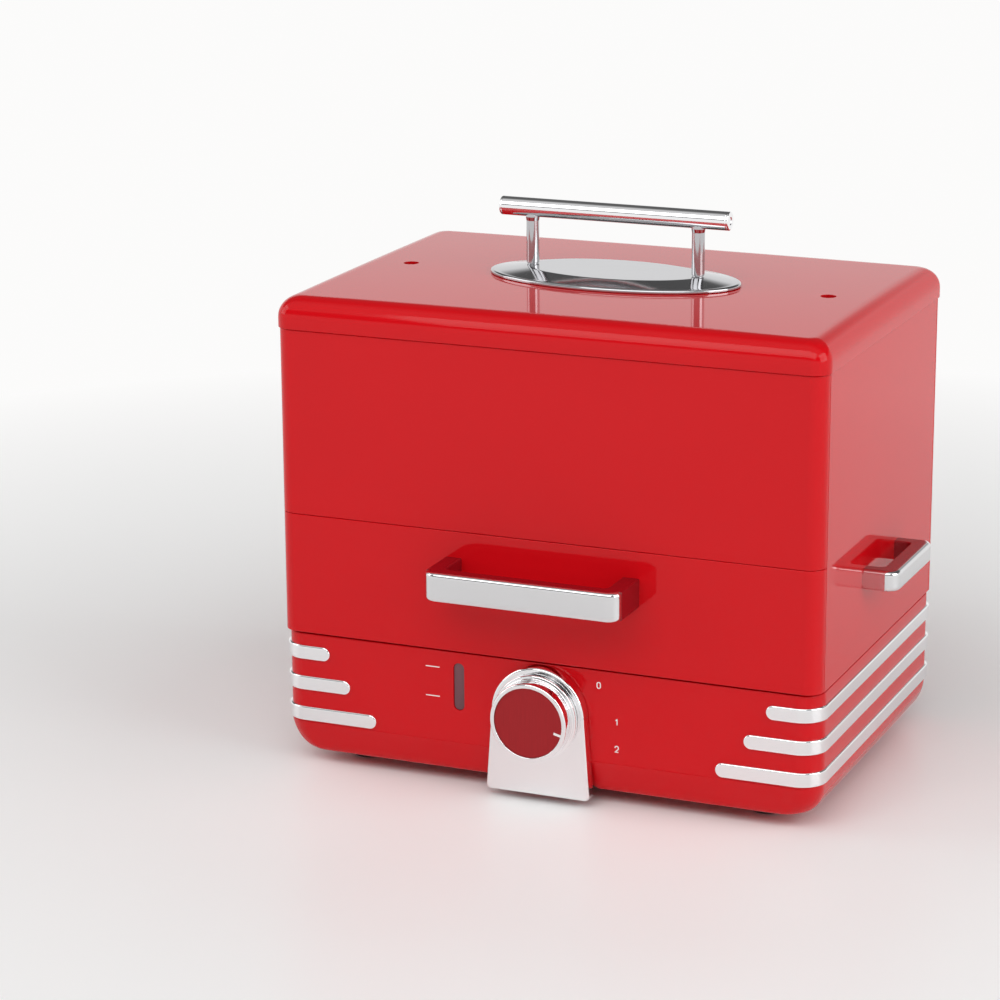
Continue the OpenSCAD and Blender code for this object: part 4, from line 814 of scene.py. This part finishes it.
def build_numerals(sizes):
    """Dial numerals 0, 1 and 2, each one stroke along a run drawn in shares of half its width and height."""
    front = box("base_housing")[0][1]
    tall, wide = sizes.mark_height / 2, sizes.mark_height * NUMERAL_WIDTH
    nought = Run([(-wide, -tall), (wide, -tall), (wide, tall), (-wide, tall)], 0.98 * wide, closed=True)
    one = Run([(-0.75 * wide, 0.45 * tall), (0.15 * wide, tall), (0.15 * wide, -tall)], [0, LEAST_RADIUS, 0])
    two = Run([(-wide, 0.35 * tall), (-wide, tall), (wide, tall), (wide, 0.1 * tall), (-wide, -tall),
               (wide, -tall)], [0, 0.85 * wide, 0.85 * wide, 0.5 * wide, LEAST_RADIUS, 0])
    marks = Skin()
    for run, (x, z) in zip((nought, one, two), NUMERAL_PLACES):
        stroke = ribbon(run, sizes.mark, PRINT, closed=run is nought)
        marks.join(stroke.placed(facing_front(x, front + NUMERAL_SINK, z)))
    add_piece("dial_numerals", "base", "white_paint", marks)


def corner_run(node, sizes, sign=1):
    """Plan of a panel that wraps two corners: in from one side seam, across, and out to the other."""
    low, high = box(node)
    face, seam = (low[1], high[1]) if sign > 0 else (high[1], low[1])
    left, right = (low[0], high[0]) if sign > 0 else (high[0], low[0])
    return Run([(left, seam), (left, face), (right, face), (right, seam)],
               [0, sizes.body_corner, sizes.body_corner, 0])


def build_panels(sizes):
    """Cabinet panels: the front and back plates bent round the corners, and a flat plate on each side."""
    for node, name, sign in (("cabinet_front_panel", "front_panel_wrap", 1),
                             ("cabinet_back_panel", "back_panel_wrap", -1)):
        low, high = box(node)
        run = corner_run(node, sizes, sign)
        skin = wrapped(run, low[2], high[2], sizes.wall, sizes.panel_edge, PANEL_CORNER)
        add_piece(name, "cabinet", "gloss_red", skin, [node])
    for side, sign in SIDES:
        node = f"cabinet_{side}_panel"
        low, high = box(node)
        face = high[0] if sign > 0 else low[0]
        run = Run([(face, low[1]), (face, high[1])][::sign], 0)
        skin = wrapped(run, low[2], high[2], sizes.wall, sizes.panel_edge, PANEL_CORNER)
        add_piece(f"{side}_panel_plate", "cabinet", "gloss_red", skin, [node])


def build_drawer(sizes):
    """Drawer front, bent round both front corners."""
    low = box("drawer_front")[0]
    top = box("cabinet_front_panel")[0][2] - sizes.seam
    skin = wrapped(corner_run("drawer_front", sizes), low[2], top, sizes.wall, sizes.panel_edge, PANEL_CORNER)
    add_piece("drawer_front_wrap", "drawer", "gloss_red", skin, ["drawer_front"])


def grip_run(half, reach, wrap, sizes):
    """Plan of a handle's red part, drawn against a wall at zero: two arms and a bar, stepped in for the trim.

    Where the trim goes on into the wall, the whole outside is stepped in.
    """
    trim = sizes.trim - TRIM_BED
    inner, outer, nose = half - sizes.arm, half - trim, reach - trim
    root, back, lap = -ARM_SEAT, reach - sizes.grip_depth, wrap + TRIM_LAP
    bend, edge = sizes.handle_corner - trim, sizes.grip_edge + GRIP_SPARE
    corners = [(-inner, root), (-inner, back), (inner, back), (inner, root)]
    radii = [edge, GRIP_ROUND, GRIP_ROUND, edge]
    if lap > root:
        corners += [(half, root), (half, lap), (outer, lap), (outer, nose), (-outer, nose), (-outer, lap),
                    (-half, lap), (-half, root)]
        radii += [edge, edge, GRIP_STEP, bend, bend, GRIP_STEP, edge, edge]
    else:
        corners += [(outer, root), (outer, nose), (-outer, nose), (-outer, root)]
        radii += [edge, bend, bend, edge]
    return Run(corners, radii, closed=True)


def build_handle(sizes, body, grip, trim, place, half, reach, wrap):
    """Handle of one wall: the red grip as a prism, and the bright trim bent round its front."""
    low, high = box(grip)
    red = prism(grip_run(half, reach, wrap, sizes), low[2], high[2], sizes.grip_edge)
    # painted shade: the grip's darker red stands in for less light from above and darker mirrored surroundings
    add_piece(grip + "_bar", body, "handle_red", red.placed(place), [grip])
    run = Run([(half, wrap), (half, reach), (-half, reach), (-half, wrap)],
              [0, sizes.handle_corner, sizes.handle_corner, 0])
    band = wrapped(run, low[2], high[2], sizes.trim, sizes.trim_edge, TRIM_CORNER)
    # painted shade: the trim takes a darker copy of the chrome for the darker surroundings it mirrors
    add_piece(trim + "_band", body, "bright_trim", band.placed(place), [trim], look="handle_trim")


def build_handles(sizes):
    """Drawer handle and both side handles, each drawn against its wall."""
    wall = box("drawer_front")[0][1]
    low, high = box("drawer_handle_trim")
    reach = wall - low[1]
    build_handle(sizes, "drawer", "drawer_handle_grip", "drawer_handle_trim",
                 lambda p: np.stack([p[:, 0], wall - p[:, 1], p[:, 2]], 1),
                 high[0], reach, reach - sizes.trim_wrap)
    face = box("cabinet_right_panel")[1][0]
    for side, sign in SIDES:
        grip, trim = f"side_handle_{side}_grip", f"side_handle_{side}_trim"
        low, high = box(trim)
        middle = (low[1] + high[1]) / 2
        reach = (high[0] if sign > 0 else -low[0]) - face
        build_handle(sizes, "cabinet", grip, trim,
                     lambda p, s=sign, m=middle: np.stack([s * (face + p[:, 1]), m + p[:, 0], p[:, 2]], 1),
                     (high[1] - low[1]) / 2, reach, -sizes.side_seat)


def lines_at(lines, half, radius):
    """Where a grid's lines run, measured on its middle line."""
    core, off = lines
    return core * (half - radius) + radius * off


def build_lid(sizes):
    """Lid: a crowned top, a quarter-round edge whose plan radius grows outward, rim, lip, and the inside."""
    low, high = box("lid_cap")
    half, mid = (high - low) / 2, (high + low) / 2
    seam = box("cabinet_front_panel")[1][2] + LID_GAP
    edge, wall, bottom, top = sizes.lid_edge, sizes.wall, low[2], high[2]
    vent, reach = sizes.vent_radius, sizes.vent_radius + VENT_MARGIN
    vents = (-sizes.vent_place, sizes.vent_place)
    straight = half[:2] - edge - LID_TIGHT
    even = [np.linspace(-span, span, count) for span, count in zip(straight, LID_LINES)]
    marks_u = np.concatenate([*(hole_marks(x, vent, 0, reach) for x in vents), even[0]])
    marks_v = np.concatenate([hole_marks(0, vent, 0, reach), even[1]])
    lines = grid_lines(marks_u / straight[0]), grid_lines(marks_v / straight[1])

    def crowned(inset, level, share, holes=()):
        """Grid of one row, whose corners tighten and whose crown grows with its share of the edge."""
        radius = sizes.lid_corner + (LID_TIGHT - sizes.lid_corner) * share
        grid = levelled(half[0] - inset, half[1] - inset, radius, level, *lines)
        for x in holes:
            grid[..., 0], grid[..., 1] = round_hole(grid[..., 0], grid[..., 1], (x, 0), vent, 0.0, reach)
        bow = (grid[..., 0] / half[0]) ** 2 + (grid[..., 1] / half[1]) ** 2
        grid[..., 2] -= share * sizes.lid_crown * bow / 2
        return grid

    t, inner = quarter(LID_STEPS), edge - wall
    over_edge = np.stack([edge * (1 - np.sin(t)), top - edge * (1 - np.cos(t))], 1)
    lip = [(0, seam + LID_BEVEL), (LID_BEVEL, seam), (LIP_OUT, seam), (LIP_OUT, bottom + LIP_BEVEL[1]),
           (LIP_OUT + LIP_BEVEL[0], bottom), (LIP_IN, bottom), (LIP_IN, seam + LIP_ROOF),
           (wall, seam + LIP_ROOF)]
    under_edge = np.stack([wall + inner * (1 - np.cos(t)), top - edge + inner * np.sin(t)], 1)
    profile = np.concatenate([over_edge, lip, under_edge])
    shares = np.clip(profile[:, 0] / edge, 0, 1)
    rows = [rim(crowned(inset, level, share)) for (inset, level), share in zip(profile, shares)]
    skin = Skin().sheet(np.stack(rows), wrap=True)
    over, under = (crowned(edge, level, 1, vents) for level in (top, top - wall))
    keep = np.ones((over.shape[0] - 1, over.shape[1] - 1), bool)
    along, across = (lines_at(line, span - edge, LID_TIGHT) for line, span in zip(lines, half))
    across = np.flatnonzero(np.abs(across) < vent + SAME)
    for x in vents:
        near = np.flatnonzero(np.abs(along - x) < vent + SAME)
        ring = np.ix_(near, across)
        skin.sheet(np.stack([rim(over[ring]), rim(under[ring])]), wrap=True)
        keep[np.ix_(near[:-1], across[:-1])] = False
    skin.sheet(over, keep=keep).sheet(under, keep=keep)
    add_piece("lid_shell", "lid", "gloss_red", skin.placed(standing(mid[0], mid[1])), ["lid_cap"])


def build_oval():
    """Oval plate on the lid: rings at shares of the oval, up a rounded rim, a slope and onto a flat top."""
    low, high = box("lid_handle_plate")
    half, mid = (high - low) / 2, (high + low) / 2
    t, rim_top = quarter(OVAL_EDGE_STEPS), low[2] + OVAL_RIM
    near = OVAL_TOP + np.array(OVAL_BREAK)
    dome = np.concatenate([np.linspace(OVAL_SLOPE, near[0], OVAL_ROWS[0]), near[1:3],
                           np.linspace(near[3], 0, OVAL_ROWS[1])])
    fall = np.clip((dome - OVAL_TOP) / (OVAL_SLOPE - OVAL_TOP), 0, 1)
    (foot, foot_rise), (brow, brow_drop) = OVAL_FOOT, OVAL_BROW
    share = np.concatenate([[0, 1 - foot], 1 - foot * (1 - np.sin(t[1:])), 1 - brow * (1 - np.cos(t)), dome])
    level = np.concatenate([[low[2], low[2]], low[2] + foot_rise * (1 - np.cos(t[1:])),
                            rim_top - brow_drop * (1 - np.sin(t)), high[2] - (high[2] - rim_top) * fall])
    angle = np.linspace(0, 2 * math.pi, OVAL_STEPS, endpoint=False)
    grid = np.stack([half[0] * share[:, None] * np.cos(angle), half[1] * share[:, None] * np.sin(angle),
                     level[:, None] + 0 * angle], -1)
    plate = Skin().sheet(grid, wrap=True).placed(standing(mid[0], mid[1]))
    # painted shade: the oval plate takes a darker copy of the chrome for the dark surroundings it mirrors
    add_piece("lid_oval", "lid", "bright_trim", plate, ["lid_handle_plate"], look="plate_trim")


def build_lid_bar():
    """Two posts on the oval plate, and a bar with grooved end caps."""
    plate_low, plate_high = box("lid_handle_plate")
    bar_low, bar_high = box("lid_handle_bar")
    radius, axis = (bar_high[2] - bar_low[2]) / 2, (bar_high[2] + bar_low[2]) / 2
    depth, under = (plate_low[1] + plate_high[1]) / 2, axis - radius
    neck_top, shank_foot = plate_high[2] + POST_STEP[0], plate_high[2] + POST_STEP[1]
    for side in ("left", "right"):
        node = f"lid_handle_post_{side}"
        low, high = box(node)
        post = turned([(0, low[2]), (POST_STUD, low[2]), (POST_STUD, plate_low[2]), (POST_NECK, plate_low[2]),
                       (POST_NECK, neck_top), (POST_SHANK, shank_foot), (POST_SHANK, under - POST_FLARE_DROP),
                       (POST_SHANK + POST_FLARE, under), (POST_SHANK + POST_FLARE, axis), (0, axis)],
                      POST_ROUNDS)
        place = standing((low[0] + high[0]) / 2, depth)
        # painted shade: the posts take the same darker copy of the chrome as the plate
        add_piece(node + "_turned", "lid", "bright_trim", post.placed(place), [node], look="plate_trim")
    end, joint = box("lid_handle_end_caps")[1][0], bar_high[0]
    button, dish = BAR_BUTTON
    profile = [(0, end - dish), (button, end - dish), (button, end), (radius, end),
               (radius, joint + BAR_GROOVE), (radius - BAR_GROOVE, joint), (radius, joint - BAR_GROOVE)]
    corners = [(r, -h) for r, h in profile] + profile[::-1]
    bar = turned(corners, [*BAR_ROUNDS, *BAR_ROUNDS[::-1]])
    add_piece("lid_bar", "lid", "bright_trim",
              bar.placed(lambda p: np.stack([p[:, 2], depth + p[:, 0], axis + p[:, 1]], 1)),
              ["lid_handle_bar", "lid_handle_end_caps"])


def dress_nodes():
    """Finish of each CAD node that still shows, smoothed across all but its sharp edges."""
    for node, solid in frame["nodes"].items():
        if solid.hide_render:
            continue
        for place in solid.material_slots:
            place.material = finish(SLOT_OF[node])
        solid.data.polygons.foreach_set("use_smooth", np.ones(len(solid.data.polygons), bool))
        weld = solid.modifiers.new("Weld", "WELD")
        weld.merge_threshold = SAME
        split = solid.modifiers.new("Sharp edges", "EDGE_SPLIT")
        split.split_angle = SOLID_ANGLE


def add_camera():
    """Camera turned about the upright axis, raised and rolled, with its frame shifted."""
    data = bpy.data.cameras.new("view")
    data.sensor_width = SENSOR
    data.lens = SENSOR * CAMERA_FOCAL
    data.shift_y = CAMERA_DROP
    level = math.cos(CAMERA_RISE)
    back = Vector((math.sin(CAMERA_TURN) * level, -math.cos(CAMERA_TURN) * level, math.sin(CAMERA_RISE)))
    flat = Vector((math.cos(CAMERA_TURN), math.sin(CAMERA_TURN), 0))
    above = flat.cross(-back)
    right = flat * math.cos(CAMERA_ROLL) + above * math.sin(CAMERA_ROLL)
    up = above * math.cos(CAMERA_ROLL) - flat * math.sin(CAMERA_ROLL)
    camera = bpy.data.objects.new("view", data)
    bpy.context.collection.objects.link(camera)
    turn = Matrix((right, up, back)).transposed().to_4x4()
    low, high = box("base_housing")
    target = Vector((CAMERA_TARGET[0], (low[1] + high[1]) / 2, CAMERA_TARGET[1]))
    camera.matrix_world = Matrix.Translation(target + back * CAMERA_AWAY) @ turn
    bpy.context.scene.camera = camera


def add_softbox(name, place, width, height, power):
    """Rectangular soft light that looks from a place at the steamer."""
    data = bpy.data.lights.new(name, "AREA")
    data.shape, data.size, data.size_y, data.energy = "RECTANGLE", width, height, power
    lamp = bpy.data.objects.new(name, data)
    bpy.context.collection.objects.link(lamp)
    place = Vector(place)
    turn = (Vector(LIGHT_AIM) - place).to_track_quat("-Z", "Y")
    lamp.matrix_world = Matrix.Translation(place) @ turn.to_matrix().to_4x4()


def ramp(tree, value, stops):
    """Colour ramp of grey levels at the given places."""
    node = add_node(tree, "ValToRGB", Fac=value)
    points = node.color_ramp.elements
    for stop in stops[1:-1]:
        points.new(stop[0])
    for point, (position, level) in zip(points, stops):
        point.position, point.color = position, (level, level, level, 1)
    return node.outputs["Color"]


def light_sky(strength):
    """Light by direction: bright at the horizon; higher up a dark band in front, and grey behind."""
    world = bpy.data.worlds.new("studio")
    bpy.context.scene.world = world
    world.use_nodes = True
    tree = world.node_tree
    axes = add_node(tree, "SeparateXYZ", Vector=add_node(tree, "TexCoord").outputs["Generated"]).outputs
    side = add_node(tree, "MapRange", Value=axes["Y"], From_Min=SKY_TURN[0], From_Max=SKY_TURN[1])
    both = add_node(tree, "Mix", Factor=side.outputs["Result"])
    both.data_type = "RGBA"
    tree.links.new(ramp(tree, axes["Z"], SKY_BEFORE), both.inputs[6])
    tree.links.new(ramp(tree, axes["Z"], SKY_BEHIND), both.inputs[7])
    shade = tree.nodes["Background"]
    shade.inputs["Strength"].default_value = strength
    tree.links.new(both.outputs[2], shade.inputs["Color"])


def combine(tree, operation, first, second):
    """Output of a math node on two outputs."""
    node = tree.nodes.new("ShaderNodeMath")
    node.operation = operation
    tree.links.new(first, node.inputs[0])
    tree.links.new(second, node.inputs[1])
    return node.outputs["Value"]


def add_floor(tone, backdrop):
    """Wide pale counter, which turns into the backdrop away from the steamer.

    Where it is seen directly or in a mirror, its shader goes from the lit counter to an even pale glow
    between two distances from the middle.
    """
    across = np.linspace(-FLOOR_REACH, FLOOR_REACH, 3)
    grid = np.stack([*np.meshgrid(across, across, indexing="ij"), np.zeros((3, 3))], -1)
    skin = Skin().sheet(grid)
    mesh = bpy.data.meshes.new("counter")
    mesh.from_pydata(np.concatenate(skin.patches).tolist(), [], skin.faces)
    material = surface("finish_counter", tone, **FLOOR_LOOK)
    tree = material.node_tree
    away = add_node(tree, "VectorMath", Vector=add_node(tree, "TexCoord").outputs["Object"])
    away.operation = "LENGTH"
    far = add_node(tree, "MapRange", Value=away.outputs["Value"], From_Min=GLOW_SPAN[0],
                   From_Max=GLOW_SPAN[1])
    path = add_node(tree, "LightPath").outputs
    seen = path["Is Camera Ray"]
    for kind in ("Is Glossy Ray", "Is Transmission Ray"):
        seen = combine(tree, "MAXIMUM", seen, path[kind])
    blend = add_node(tree, "MixShader", Fac=combine(tree, "MULTIPLY", seen, far.outputs["Result"]))
    glow = add_node(tree, "Emission", Color=(*backdrop, 1))
    tree.links.new(tree.nodes["Principled BSDF"].outputs["BSDF"], blend.inputs[1])
    tree.links.new(glow.outputs["Emission"], blend.inputs[2])
    tree.links.new(blend.outputs["Shader"], tree.nodes["Material Output"].inputs["Surface"])
    mesh.materials.append(material)
    floor = bpy.data.objects.new("counter", mesh)
    bpy.context.collection.objects.link(floor)


class STEAMER_OT_base(Operator):
    """Base shell with its gauge slot and cord hole"""
    bl_idname = "steamer.base"
    bl_label = "Base"

    def execute(self, context):
        build_base(context.scene.steamer_sizes)
        return {"FINISHED"}


class STEAMER_OT_feet(Operator):
    """Feet and their rubber pads"""
    bl_idname = "steamer.feet"
    bl_label = "Feet"

    def execute(self, context):
        build_feet()
        return {"FINISHED"}


class STEAMER_OT_stripes(Operator):
    """Three bright stripes on each side of the base"""
    bl_idname = "steamer.stripes"
    bl_label = "Stripes"

    def execute(self, context):
        build_stripes(context.scene.steamer_sizes)
        return {"FINISHED"}


class STEAMER_OT_dial(Operator):
    """Dial plate and the numerals beside it"""
    bl_idname = "steamer.dial"
    bl_label = "Dial"

    def execute(self, context):
        build_dial(context.scene.steamer_sizes)
        build_numerals(context.scene.steamer_sizes)
        return {"FINISHED"}


class STEAMER_OT_knob(Operator):
    """Knob with its red insert and pointer"""
    bl_idname = "steamer.knob"
    bl_label = "Knob"

    def execute(self, context):
        build_knob(context.scene.steamer_sizes)
        return {"FINISHED"}


class STEAMER_OT_gauge(Operator):
    """Gauge window and its level lines"""
    bl_idname = "steamer.gauge"
    bl_label = "Gauge"

    def execute(self, context):
        build_gauge(context.scene.steamer_sizes)
        return {"FINISHED"}


class STEAMER_OT_cabinet(Operator):
    """Cabinet panels"""
    bl_idname = "steamer.cabinet"
    bl_label = "Cabinet"

    def execute(self, context):
        build_panels(context.scene.steamer_sizes)
        return {"FINISHED"}


class STEAMER_OT_drawer(Operator):
    """Drawer front"""
    bl_idname = "steamer.drawer"
    bl_label = "Drawer"

    def execute(self, context):
        build_drawer(context.scene.steamer_sizes)
        return {"FINISHED"}


class STEAMER_OT_handles(Operator):
    """Drawer handle and side handles"""
    bl_idname = "steamer.handles"
    bl_label = "Handles"

    def execute(self, context):
        build_handles(context.scene.steamer_sizes)
        return {"FINISHED"}


class STEAMER_OT_lid(Operator):
    """Lid with its vents"""
    bl_idname = "steamer.lid"
    bl_label = "Lid"

    def execute(self, context):
        build_lid(context.scene.steamer_sizes)
        return {"FINISHED"}


class STEAMER_OT_lid_handle(Operator):
    """Oval plate, posts and bar on the lid"""
    bl_idname = "steamer.lid_handle"
    bl_label = "Lid handle"

    def execute(self, context):
        build_oval()
        build_lid_bar()
        return {"FINISHED"}


class STEAMER_OT_inside(Operator):
    """Finishes of the solids that keep their own shape"""
    bl_idname = "steamer.inside"
    bl_label = "Inside"

    def execute(self, context):
        dress_nodes()
        return {"FINISHED"}


class STEAMER_OT_stage(Operator):
    """Counter, light and camera"""
    bl_idname = "steamer.stage"
    bl_label = "Stage"

    def execute(self, context):
        scene = context.scene
        scene.view_settings.view_transform = "Standard"
        add_floor(tuple(scene.steamer_colours.floor), tuple(scene.steamer_colours.backdrop))
        light_sky(scene.steamer_stage.sky)
        for level, (name, place, width, height) in SOFTBOXES.items():
            add_softbox(name, place, width, height, getattr(scene.steamer_stage, level))
        add_camera()
        return {"FINISHED"}


class STEAMER_PT_pieces(Panel):
    """Lists the steamer's pieces, sizes and colours"""
    bl_idname = "STEAMER_PT_pieces"
    bl_label = "Steamer"
    bl_space_type = "VIEW_3D"
    bl_region_type = "UI"
    bl_category = "Steamer"

    def draw(self, context):
        for step in STEPS:
            self.layout.operator(step.bl_idname)
        for key in GROUPS:
            group = getattr(context.scene, key)
            column = self.layout.column(align=True)
            for name in group.__annotations__:
                column.prop(group, name)


STEPS = (STEAMER_OT_base, STEAMER_OT_feet, STEAMER_OT_stripes, STEAMER_OT_dial, STEAMER_OT_knob,
         STEAMER_OT_gauge, STEAMER_OT_cabinet, STEAMER_OT_drawer, STEAMER_OT_handles, STEAMER_OT_lid,
         STEAMER_OT_lid_handle, STEAMER_OT_inside, STEAMER_OT_stage)
GROUPS = {"steamer_sizes": SteamerSizes, "steamer_colours": SteamerColours, "steamer_stage": SteamerStage}


def register():
    """Register the groups, the operators and the panel."""
    for group in GROUPS.values():
        bpy.utils.register_class(group)
    for name, group in GROUPS.items():
        setattr(bpy.types.Scene, name, PointerProperty(type=group))
    for kind in (*STEPS, STEAMER_PT_pieces):
        bpy.utils.register_class(kind)


def unregister():
    """Take them out again."""
    for kind in (STEAMER_PT_pieces, *reversed(STEPS)):
        bpy.utils.unregister_class(kind)
    for name, group in GROUPS.items():
        delattr(bpy.types.Scene, name)
        bpy.utils.unregister_class(group)


def main():
    """Register the groups and steps, then make every piece and the stage."""
    register()
    for step in STEPS:
        group, name = step.bl_idname.split(".")
        getattr(getattr(bpy.ops, group), name)()


if __name__ == "__main__":
    main()
